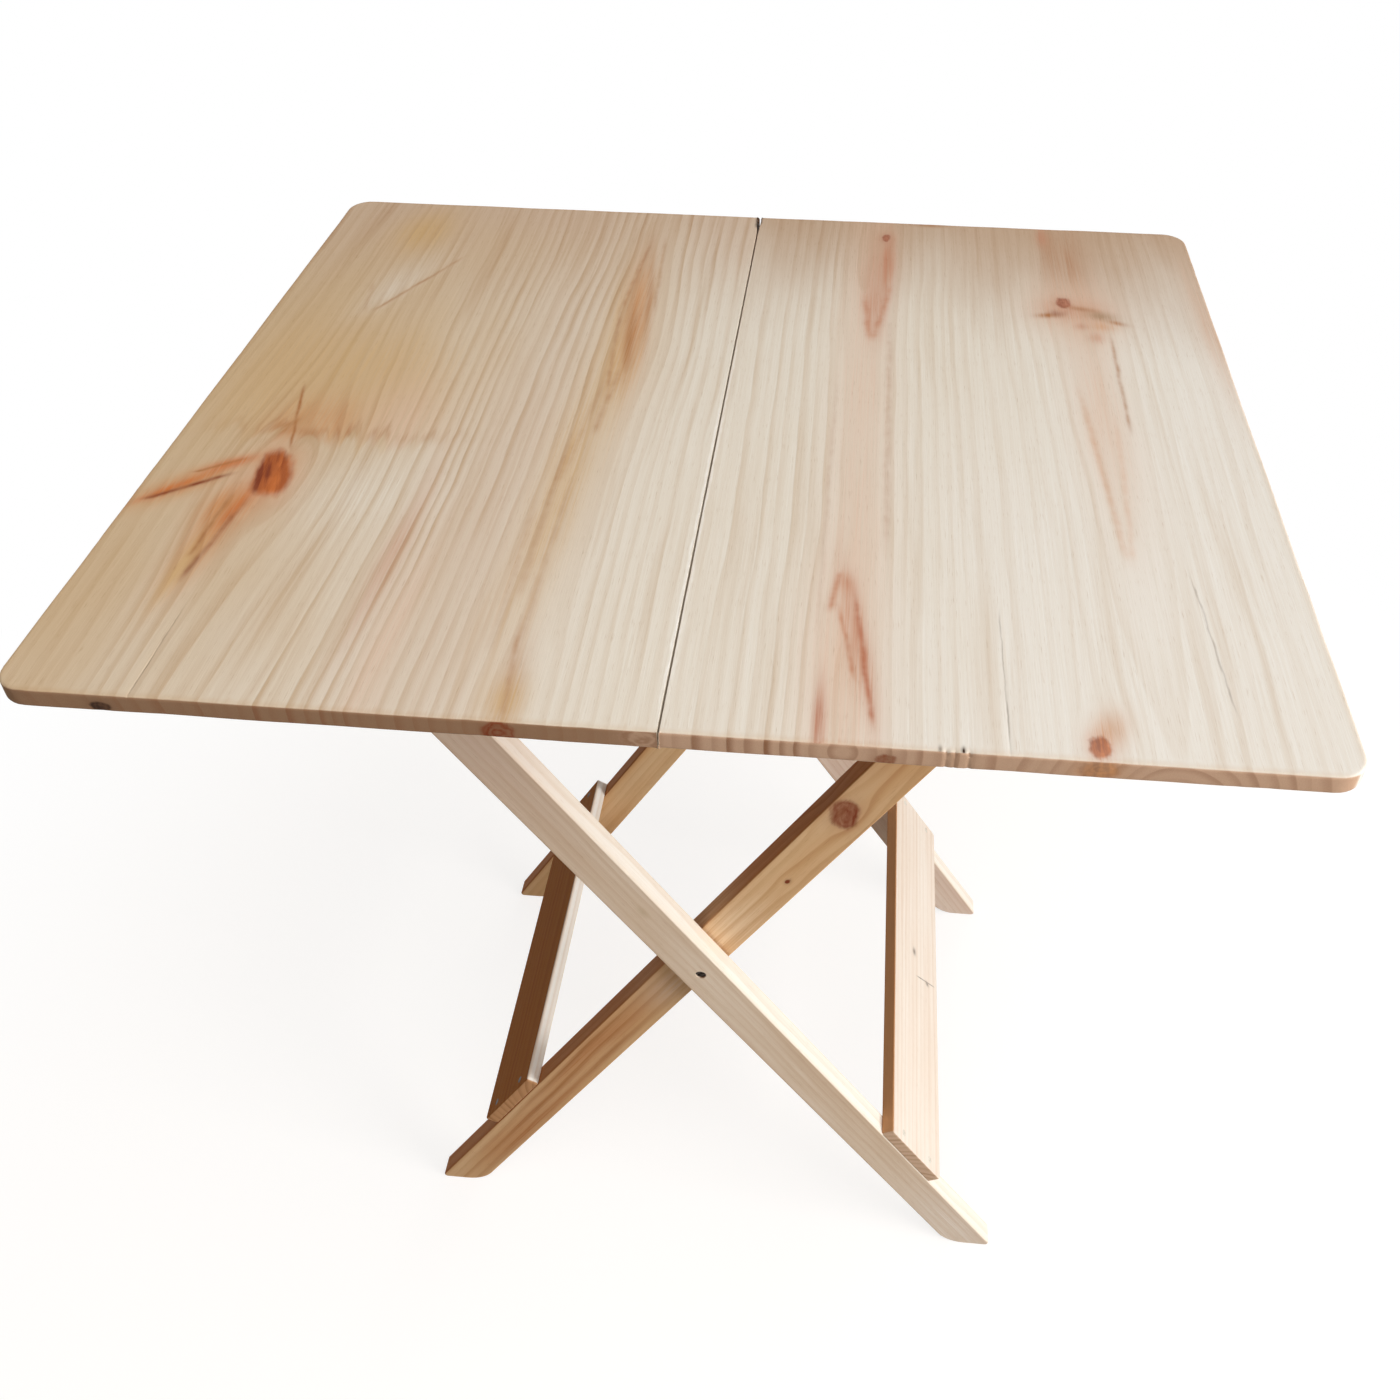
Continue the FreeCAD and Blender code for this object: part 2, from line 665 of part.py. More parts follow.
for frame in FRAMES:
    for side in SIDES:
        leg(frame, side)
    stretcher(frame)
for side in SIDES:
    crossing_bolt(side)
    hinge_pin(side)
for leaf in LEAVES:
    leaf_board(leaf)
    leaf_screws(leaf)
    for side in SIDES:
        cleat(leaf, side)
        pivot_screw(leaf, side)
        hinge_plate(leaf, side)
doc.recompute()

for obj in doc.Objects:
    if "Invalid" in obj.State or "Error" in obj.State:
        raise RuntimeError("%s failed: %s" % (obj.Label, obj.State))
for obj in parts:
    if obj.Shape.isNull() or not obj.Shape.isValid() or not obj.Shape.Solids:
        raise RuntimeError("%s has no valid solid" % obj.Label)

os.makedirs("parts", exist_ok=True)
for obj in parts:
    obj.Shape.exportStep("parts/%s.step" % obj.Label)
    print("%s: %d solids, %.1f mm3" % (obj.Label, len(obj.Shape.Solids), obj.Shape.Volume))
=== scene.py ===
import json
import math
from collections import namedtuple

import bpy
from mathutils import Color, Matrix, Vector, noise


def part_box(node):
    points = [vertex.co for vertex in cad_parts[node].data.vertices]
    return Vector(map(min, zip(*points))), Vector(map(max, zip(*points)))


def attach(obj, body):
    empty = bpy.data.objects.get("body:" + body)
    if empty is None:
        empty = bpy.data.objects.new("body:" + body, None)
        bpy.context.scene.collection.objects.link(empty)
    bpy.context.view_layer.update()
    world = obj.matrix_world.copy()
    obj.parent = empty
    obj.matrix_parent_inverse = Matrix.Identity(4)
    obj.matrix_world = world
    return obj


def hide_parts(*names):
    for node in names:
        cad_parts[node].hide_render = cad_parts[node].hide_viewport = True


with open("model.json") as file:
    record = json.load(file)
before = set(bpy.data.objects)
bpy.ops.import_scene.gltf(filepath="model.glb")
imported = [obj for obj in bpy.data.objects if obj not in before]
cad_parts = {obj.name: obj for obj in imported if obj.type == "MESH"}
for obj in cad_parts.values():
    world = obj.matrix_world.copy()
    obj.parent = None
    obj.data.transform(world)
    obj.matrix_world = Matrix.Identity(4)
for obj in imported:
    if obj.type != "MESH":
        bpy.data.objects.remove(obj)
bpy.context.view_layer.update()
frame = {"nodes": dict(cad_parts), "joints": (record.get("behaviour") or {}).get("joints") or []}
nodes = frame["nodes"]

MM = 0.001
IN_MM = 1.0 / MM


def in_mm(place):
    """The coordinates of a place in the frame, in millimetres and free of rounding errors."""
    return [round(coordinate * IN_MM, 2) for coordinate in place]


def box_middle(node_name):
    """The middle of a node's box, in millimetres."""
    low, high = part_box(node_name)
    return in_mm((low + high) / 2.0)


# Sizes and places that the looks lean on, in millimetres
UNDERSIDE = in_mm(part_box("right_leaf_board")[0])[2]
HALF_WIDTH, HALF_DEPTH, TOP = in_mm(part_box("right_leaf_board")[1])
joint_places = {joint["name"]: in_mm(joint["pos_m"]) for joint in frame["joints"]}
PIVOT_HEIGHT = joint_places["leaf_pivot"][2]
CROSSING = joint_places["scissor_pivot"][2]
LEG_TILT = math.atan2(abs(joint_places["leaf_pivot"][0]), PIVOT_HEIGHT - CROSSING)
# The radius of the leaves' corners, half the seam between them, and how far they reach into it below
CORNER = 16.0
HALF_SEAM = 0.45
SEAM_TAPER = 0.2

# Numbers of the node formulas
INVERSE_E = math.exp(-1.0)
HALF = 0.5
SCREEN_WHITE = 255.0
# The sockets of a mix node that blend colours
MIX_SHARE, MIX_FIRST, MIX_SECOND, MIX_RESULT = 0, 6, 7, 2


def colour(red, green, blue):
    """A linear colour from the 0 to 255 values that a screen shows."""
    shown = Color([channel / SCREEN_WHITE for channel in (red, green, blue)])
    return (*shown.from_srgb_to_scene_linear(), 1.0)


# Node formulas


class Field:
    """A number that varies over a surface, held as a node socket, so that formulas read as plain sums."""

    def __init__(self, socket):
        self.socket = socket

    def __add__(self, other):
        return formula("ADD", self, other)

    def __sub__(self, other):
        return formula("SUBTRACT", self, other)

    def __rsub__(self, other):
        return formula("SUBTRACT", other, self)

    def __mul__(self, other):
        return formula("MULTIPLY", self, other)

    def __truediv__(self, other):
        return formula("DIVIDE", self, other)


def plug(tree, value, socket):
    """Links a field or a socket, or sets a plain value."""
    if isinstance(value, Field):
        value = value.socket
    if isinstance(value, bpy.types.NodeSocket):
        tree.links.new(value, socket)
    else:
        socket.default_value = value


def tree_of(values):
    for value in values:
        if isinstance(value, Field):
            return value.socket.id_data
        if isinstance(value, bpy.types.NodeSocket):
            return value.id_data
    raise ValueError("a formula needs at least one field")


def formula(operation, *values):
    tree = tree_of(values)
    node = tree.nodes.new("ShaderNodeMath")
    node.operation = operation
    for value, socket in zip(values, node.inputs):
        plug(tree, value, socket)
    return Field(node.outputs[0])


def length(*sides):
    """The root of the sum of squares."""
    total = sides[0] * sides[0]
    for side in sides[1:]:
        total = formula("MULTIPLY_ADD", side, side, total)
    return formula("SQRT", total)


def bell(field, width):
    """1 where the field is zero, falling away smoothly over the width."""
    scaled = field * (1.0 / width)
    return formula("POWER", INVERSE_E, scaled * scaled)


def ramp(field, start, end):
    """0 at the start, 1 at the end, smooth between."""
    tree = tree_of([field])
    node = tree.nodes.new("ShaderNodeMapRange")
    node.interpolation_type = "SMOOTHSTEP"
    for name, value in (("Value", field), ("From Min", start), ("From Max", end)):
        plug(tree, value, node.inputs[name])
    return Field(node.outputs["Result"])


def point(x, y, z):
    tree = tree_of([x, y, z])
    node = tree.nodes.new("ShaderNodeCombineXYZ")
    for value, socket in zip((x, y, z), node.inputs):
        plug(tree, value, socket)
    return node.outputs[0]


def cloud(place, detail=2.0, roughness=0.5):
    """Smooth noise around zero, mostly within a quarter either way."""
    tree = place.id_data
    node = tree.nodes.new("ShaderNodeTexNoise")
    tree.links.new(place, node.inputs["Vector"])
    node.inputs["Scale"].default_value = 1.0
    node.inputs["Detail"].default_value = detail
    node.inputs["Roughness"].default_value = roughness
    return Field(node.outputs[0]) - HALF


def chance(field):
    """A fixed random number from 0 to 1 for each value of the field."""
    tree = tree_of([field])
    node = tree.nodes.new("ShaderNodeTexWhiteNoise")
    node.noise_dimensions = "1D"
    plug(tree, field, node.inputs["W"])
    return Field(node.outputs["Value"])


def blend(share, first, second, mode="MIX"):
    """The first colour, turned into the second by the share."""
    tree = tree_of([share, first, second])
    node = tree.nodes.new("ShaderNodeMix")
    node.data_type = "RGBA"
    node.blend_type = mode
    node.clamp_factor = True
    for value, index in ((share, MIX_SHARE), (first, MIX_FIRST), (second, MIX_SECOND)):
        plug(tree, value, node.inputs[index])
    return node.outputs[MIX_RESULT]


def new_material(name):
    """A material with its shader, and the place and facing of each point in the part's own frame."""
    material = bpy.data.materials.new(name)
    material.use_nodes = True
    tree = material.node_tree
    shader = tree.nodes["Principled BSDF"]
    where = tree.nodes.new("ShaderNodeTexCoord")
    return material, tree, shader, where


def parts_of(tree, socket, scale=1.0):
    """The three parts of a vector as fields."""
    node = tree.nodes.new("ShaderNodeSeparateXYZ")
    tree.links.new(socket, node.inputs[0])
    return [Field(output) * scale for output in node.outputs]


def add_bump(tree, shader, height, distance, strength):
    node = tree.nodes.new("ShaderNodeBump")
    node.inputs["Distance"].default_value = distance
    node.inputs["Strength"].default_value = strength
    plug(tree, height, node.inputs["Height"])
    tree.links.new(node.outputs[0], shader.inputs["Normal"])


# Pine

# A soft streak of colour, turned by some degrees from the grain; it may stop short at a cut across the grain.
Spot = namedtuple("Spot", "x y width reach tint share turn cut", defaults=(0.0, None))
# A knot, more or less ringed; the growth lines part around it as far as its push.
Knot = namedtuple(
    "Knot", "x y wide high tint dark push stretch turn share rings", defaults=(1.2, 2.0, 0.0, 1.0, 0.3)
)
# A thin line such as a check, a resin line or a pencil mark.
Mark = namedtuple("Mark", "x1 y1 x2 y2 width tint share")
# The heart of the tree under the surface: its place, its depth, how that changes along it, where it rises.
Heart = namedtuple("Heart", "x depth dip rises", defaults=(0.0, ()))
# A chip out of a leaf's near edge and a check from its near end, at their distance from the seam.
Chip = namedtuple("Chip", "x depth width")
Check = namedtuple("Check", "x start depth")
# A noise: its pace across and along the grain, its height, its finer detail, and what sets it apart.
Noise = namedtuple("Noise", "across along height detail roughness apart", defaults=(1.0, 2.0, 0.5, 0.0))
# The handled wood along an edge: how ragged it is, where it starts and where it is full, and its share.
Edge = namedtuple("Edge", "ragged start full share")

LEAF_WANDER = Noise(0.012, 0.0035, 14.0)
LEAF_QUIVER = Noise(0.05, 0.018, 1.8, apart=8.0)
LEAF_DRIFT = Noise(0.02, 0.006, apart=3.0)
LEAF_FADING = Noise(0.03, 0.008, 1.6, apart=6.0)
LEAF_BANDS = Noise(0.14, 0.003, detail=3.0, apart=9.0)
STICK_WANDER = Noise(0.02, 0.004, 9.0)
STICK_QUIVER = Noise(0.06, 0.02, 2.0)
STICK_DRIFT = Noise(0.05, 0.006, apart=5.0)
FIBRE = Noise(0.9, 0.012, detail=3.0, roughness=0.6)
PORES = Noise(3.2, 0.09)
CUT_FINGERS = Noise(0.11, 0.006, detail=3.0, roughness=0.65)
KNOT_LUMPS = Noise(0.9, 0.9, detail=3.0)
KNOT_STREAKS = Noise(3.0, 0.6, detail=3.0, apart=4.0)
MARK_WAVER = Noise(0.02, 0.045, 3.0, detail=3.0)
MARK_PRESENCE = Noise(0.07, 0.09, 1.8, apart=2.0)


def grain(kind, seed, across, along, through=None):
    """One kind of noise over a surface. With a third coordinate it also runs through the piece."""
    third = seed + kind.apart
    if through is not None:
        third = through * kind.across + third
    field = cloud(point(across * kind.across, along * kind.along, third), kind.detail, kind.roughness)
    return field if kind.height == 1.0 else field * kind.height


def slanted(across, along, x_share, y_share, start):
    """A weighted sum of the two coordinates, from a start."""
    return formula("MULTIPLY_ADD", across, x_share, formula("MULTIPLY_ADD", along, y_share, start))


def turned(across, along, row, wide, high):
    """Coordinates around a row's middle, turned with it and measured in its own sizes."""
    turn = math.radians(row.turn)
    cosine, sine = math.cos(turn), math.sin(turn)
    aside = slanted(across, along, cosine / wide, sine / wide, -(row.x * cosine + row.y * sine) / wide)
    ahead = slanted(across, along, -sine / high, cosine / high, (row.x * sine - row.y * cosine) / high)
    return aside, ahead


# Growth lines: how their spacing varies, the share of the faintest, and where in a ring one darkens and ends
RING_PACE = 0.035
RING_UNEVENNESS = 1.6
FAINTEST_RING = 0.25
RING_DARKENS = (0.3, 0.88)
RING_ENDS = (1.0, 0.9)


def growth_lines(distance, spacing, seed):
    """Thin dark lines at uneven steps of the distance from the heart of the tree."""
    uneven = cloud(point(distance * RING_PACE, seed, 0.0), 1.0)
    step = distance * (1.0 / spacing) + uneven * RING_UNEVENNESS
    phase = formula("FRACT", step)
    weight = chance(formula("FLOOR", step) + seed) * (1.0 - FAINTEST_RING) + FAINTEST_RING
    return ramp(phase, *RING_DARKENS) * ramp(phase, *RING_ENDS) * weight


def heart_distance(across, along, depth, heart):
    """Distance from the heart of the tree, which runs under the surface at a depth that changes along it."""
    buried = along * heart.dip + heart.depth
    for place, reach, rise in heart.rises:
        buried = buried - bell(along - place, reach) * rise
    return length(across - heart.x, buried - depth)


# How gently the growth lines part around a knot
PARTING = 0.45


def around_knots(across, along, knots):
    """The across coordinate, bent so that the growth lines part around each knot."""
    bent = across
    for knot in knots:
        aside = across - knot.x
        ahead = (along - knot.y) * (1.0 / knot.stretch)
        size = knot.wide * knot.push
        apart = formula("MULTIPLY_ADD", ahead, ahead, aside * aside) + PARTING * size * size
        bent = bent - aside * (size * size) / apart
    return bent


# A spot that stops at a cut: the length of its fingers, its border, and the brown lip along it
FINGER_LENGTH = 85.0
CUT_BORDER = (-5.0, 6.0)
LIP_PLACE = 5.0
LIP_WIDTH = 6.0
LIP_SHOWS = (0.12, -0.08)


def paint_spot(base, across, along, ragged, spot):
    aside, ahead = turned(across, along, spot, spot.width, spot.reach)
    spread = formula("MULTIPLY_ADD", ahead, ahead, aside * aside) + ragged
    cover = formula("POWER", INVERSE_E, spread) * spot.share
    if spot.cut is None:
        return blend(cover, base, spot.tint)
    fingers = grain(CUT_FINGERS, spot.x, across, along)
    from_cut = along + fingers * FINGER_LENGTH - spot.cut
    lip = bell(from_cut - LIP_PLACE, LIP_WIDTH) * ramp(fingers, *LIP_SHOWS)
    base = blend(cover * ramp(from_cut, *CUT_BORDER), base, spot.tint)
    return blend(lip * cover, base, BROWN)


# Knots: what seeds their noises, and their outline in shares of their size
KNOT_SEED = 0.37
KNOT_LUMPINESS = 0.9
KNOT_RAGGEDNESS = 0.1
KNOT_BORDER = (1.22, 0.72)
HALO_REACH = 1.35
HALO_SHARE = 0.5
RIM_PLACE = 0.95
RIM_WIDTH = 0.16
RIM_SHOWS = (-0.15, 0.15)
# Knots: the rings, the streaks and the darker side within
KNOT_RINGS = 11.0
KNOT_RING_WAVER = 12.0
STREAK_SLANT = 4.0 / 3.0
STREAKS_SHOW = (-0.1, 0.12)
STREAK_SHARE = 0.6
SIDE_SLANT = 0.35
SIDE_SHOWS = (0.55, -0.5)
SIDE_SHARE = 0.55
DARKEST = 0.9


def paint_knot(base, across, along, ragged, knot):
    """A lumpy round of darker wood with a soft outline: streaks or rings inside, darker towards one side."""
    aside, ahead = turned(across, along, knot, knot.wide, knot.high)
    seed = knot.x * KNOT_SEED
    lumps = grain(KNOT_LUMPS, seed, aside, ahead)
    streaks = grain(KNOT_STREAKS, seed, aside, ahead + aside * STREAK_SLANT)
    reach = length(aside, ahead) + lumps * KNOT_LUMPINESS + ragged * KNOT_RAGGEDNESS
    rings = formula("SINE", reach * KNOT_RINGS + lumps * KNOT_RING_WAVER) * HALF + HALF
    one_side = ramp(aside - ahead * SIDE_SLANT + lumps, *SIDE_SHOWS)
    plain = ramp(streaks, *STREAKS_SHOW) * STREAK_SHARE + one_side * SIDE_SHARE
    dark = rings * knot.rings + plain * (1.0 - knot.rings)
    body = blend(dark * DARKEST, knot.tint, knot.dark)
    base = blend(bell(reach, HALO_REACH) * HALO_SHARE * knot.share, base, knot.tint)
    base = blend(ramp(reach, *KNOT_BORDER) * knot.share, base, body)
    rim = bell(reach - RIM_PLACE, RIM_WIDTH) * ramp(lumps + streaks, *RIM_SHOWS)
    return blend(rim * knot.rings * knot.share, base, knot.dark)


# Marks: the shares of their run where they fade in and out, how ragged they are, and how much of them shows
MARK_STARTS = 0.25
MARK_STOPS = 0.15
MARK_RAGGEDNESS = 0.6
MARK_SHOWS = 0.9


def paint_mark(base, across, along, waver, presence, mark):
    """A line that wavers and comes and goes along its run."""
    run = mark.y2 - mark.y1
    lean = (mark.x2 - mark.x1) / run
    aside = slanted(across, along, 1.0, -lean, mark.y1 * lean - mark.x1) + waver
    starting = ramp(along, mark.y1, mark.y1 + run * MARK_STARTS)
    stopping = ramp(along, mark.y2, mark.y2 - run * MARK_STOPS)
    return blend(bell(aside, mark.width) * (starting * stopping) * presence * mark.share, base, mark.tint)


# How far the fibres fray the borders of spots, knots and marks
FRAYING = 2.2


def paint_features(base, across, bent, along, fibre, looks):
    """Adds a piece's own spots, knots and marks. Spots along the grain follow its bends."""
    seed = looks["seed"]
    ragged = fibre * FRAYING
    for spot in looks.get("spots", ()):
        base = paint_spot(base, bent if spot.turn == 0.0 else across, along, ragged, spot)
    for knot in looks.get("knots", ()):
        base = paint_knot(base, across, along, ragged, knot)
    if "marks" in looks:
        waver = grain(MARK_WAVER, seed, across, along) + ragged * MARK_RAGGEDNESS
        presence = grain(MARK_PRESENCE, seed, across, along) + MARK_SHOWS
        for mark in looks["marks"]:
            base = paint_mark(base, across, along, waver, presence, mark)
    return base


# End grain: the shares of the growth lines and the pores, and a shade all over; where a face counts as cut
END_LINES = 0.8
END_PORES = 0.6
END_SHADE = 0.1
END_FACING = (0.35, 0.75)


def end_grain(lines, pores, look):
    return blend(lines * END_LINES + pores * END_PORES + END_SHADE, look["end"], look["end_line"])


def end_share(facing_along):
    """1 on faces cut across the grain, 0 on faces along it."""
    return ramp(facing_along * facing_along, *END_FACING)


LEAF_EDGE = Edge(8.0, 5.0, 0.0, 0.35)
STICK_EDGE = Edge(5.0, 3.0, 0.5, 0.25)


def handled(distance, fibre, edge):
    """How much a point is darkened by hands, at its distance from the edge."""
    return ramp(distance + fibre * edge.ragged, edge.start, edge.full) * edge.share


# The pine's surface: how fibres and pores tint it, how dull it is, and its relief (its height in metres)
FIBRE_CONTRAST = 1.1
FIBRE_SHADE = 0.22
PORES_SHOW = (0.12, 0.25)
PORE_SHARE = 0.45
DULLNESS = 0.68
PORE_DULLNESS = 0.25
FIBRE_DULLNESS = 0.15
END_DULLNESS = 0.15
SHEEN = 0.15
LINE_RELIEF = 0.3
FIBRE_RELIEF = 0.9
PORE_RELIEF = 0.5
RELIEF_HEIGHT = 0.0004
RELIEF_STRENGTH = 0.3


def finish_pine(tree, shader, base, cut, lines, fibre, pores, ends, edge, look):
    """Adds what all pine has in common: growth lines, fibres, pores, cut ends, handled edges, sheen."""
    painted = blend(lines * look["line_share"], base, look["line"], "MULTIPLY")
    painted = blend(fibre * FIBRE_CONTRAST + FIBRE_SHADE, painted, look["streak"], "MULTIPLY")
    painted = blend(ramp(pores, *PORES_SHOW) * PORE_SHARE, painted, PORE, "MULTIPLY")
    painted = blend(edge, painted, HANDLED, "MULTIPLY")
    painted = blend(ends, painted, cut)
    plug(tree, painted, shader.inputs["Base Color"])
    dull = pores * PORE_DULLNESS + fibre * FIBRE_DULLNESS + DULLNESS
    plug(tree, dull + ends * END_DULLNESS, shader.inputs["Roughness"])
    shader.inputs["Specular IOR Level"].default_value = look.get("sheen", SHEEN)
    relief = lines * LINE_RELIEF + fibre * FIBRE_RELIEF + pores * PORE_RELIEF
    add_bump(tree, shader, relief, RELIEF_HEIGHT, RELIEF_STRENGTH)


# Colours of the pine
PALE = colour(231, 222, 208)
CREAM = colour(236, 230, 221)
TAN = colour(208, 182, 148)
SAND = colour(214, 190, 160)
DUSKY = colour(208, 182, 158)
# Painted shade towards the right leaf's far edge
FAR_SHADE_DUSK = colour(192, 161, 132)
HONEY = colour(208, 172, 120)
RED_HEART = colour(196, 134, 102)
ROSY = colour(222, 190, 166)
ORANGE = colour(204, 144, 94)
BROWN = colour(172, 116, 70)
RUST = colour(204, 116, 60)
DARK_KNOT = colour(130, 60, 32)
GREY_KNOT = colour(164, 132, 98)
RED_KNOT = colour(184, 116, 86)
DULL_KNOT = colour(176, 124, 94)
CRACK = colour(104, 74, 54)
# Painted shade in hollows: the seam's far end, chips in the near edge and a hole in an end
HOLLOW_SHADE = colour(58, 40, 30)
GLINT = colour(250, 246, 240)
PENCIL = colour(134, 122, 112)
LINE = colour(232, 218, 203)
STREAK = colour(240, 233, 223)
PORE = colour(206, 180, 152)
HANDLED = colour(232, 208, 178)
END = colour(200, 165, 138)
DARK_END = colour(156, 122, 94)
END_LINE = colour(146, 104, 76)


# A leaf's tints and lines: how far their borders waver, and how much they show; the far tint is painted shade
TONING_WAVER = 160.0
FAR_WAVER = 120.0
FAR_SHARE = 0.95
BANDS_SHOW = (0.0, 0.25)
CLEAR_WAVER = 60.0
CLEAR_GAIN = 0.75
LINES_ELSEWHERE = 0.55
LINES_SHOW = 0.8


def leaf_pine(name, looks):
    """The pine of one leaf. Its grain runs along Y."""
    material, tree, shader, where = new_material(name)
    x, y, z = parts_of(tree, where.outputs["Object"], IN_MM)
    facing_along = parts_of(tree, where.outputs["Normal"])[1]
    depth = TOP - z
    seed = looks["seed"]
    wander = grain(LEAF_WANDER, seed, x, y)
    quiver = grain(LEAF_QUIVER, seed, x, y)
    bent = around_knots(x + wander + quiver, y, looks["knots"])
    first, second = [heart_distance(bent, y, depth, heart) for heart in looks["hearts"]]
    fibre = grain(FIBRE, seed, x, y, z)
    pores = grain(PORES, seed, x, y, z)
    drift = grain(LEAF_DRIFT, seed, x, y)
    place, lean, width = looks["clear"]
    clear = bell(x - y * lean - place + drift * CLEAR_WAVER, width) * CLEAR_GAIN + LINES_ELSEWHERE
    fading = (grain(LEAF_FADING, seed, x, y) + LINES_SHOW) * clear
    lines = growth_lines(formula("MINIMUM", first, second), looks["spacing"], seed) * fading

    lean, *span = looks["toning"]
    base = blend(ramp(x + y * lean + drift * TONING_WAVER, *span), *looks["tints"])
    # Painted shade: the leaf darkens towards its far edge
    lean, *span = looks["far_shading"]
    base = blend(ramp(y + x * lean + drift * FAR_WAVER, *span) * FAR_SHARE, base, looks["far_shade_tint"])
    bands = ramp(grain(LEAF_BANDS, seed, bent, y), *BANDS_SHOW)
    base = blend(bands * looks["banding"], base, LINE, "MULTIPLY")
    base = paint_features(base, x, bent, y, fibre, looks)
    rim = formula("MINIMUM", HALF_WIDTH - formula("ABSOLUTE", x), HALF_DEPTH - formula("ABSOLUTE", y))
    edge = handled(rim, fibre, LEAF_EDGE)
    cut = end_grain(lines, pores, looks["look"])
    for end_spot in looks["end_spots"]:
        cut = paint_knot(cut, x, z, pores, end_spot)
    finish_pine(tree, shader, base, cut, lines, fibre, pores, end_share(facing_along), edge, looks["look"])
    return material


# Places on the leaves are in millimetres in the table's own frame.
# toning and far_shading give a lean and the span over which one tint turns into the next; the far tint is
# painted shade towards the far edge.
# clear gives the place, lean and width of the stretch where the growth lines are clearest.
# far_notch is the depth of the wear at the seam's far end.
LEAF_LOOK = {"line": LINE, "streak": STREAK, "end_line": END_LINE}

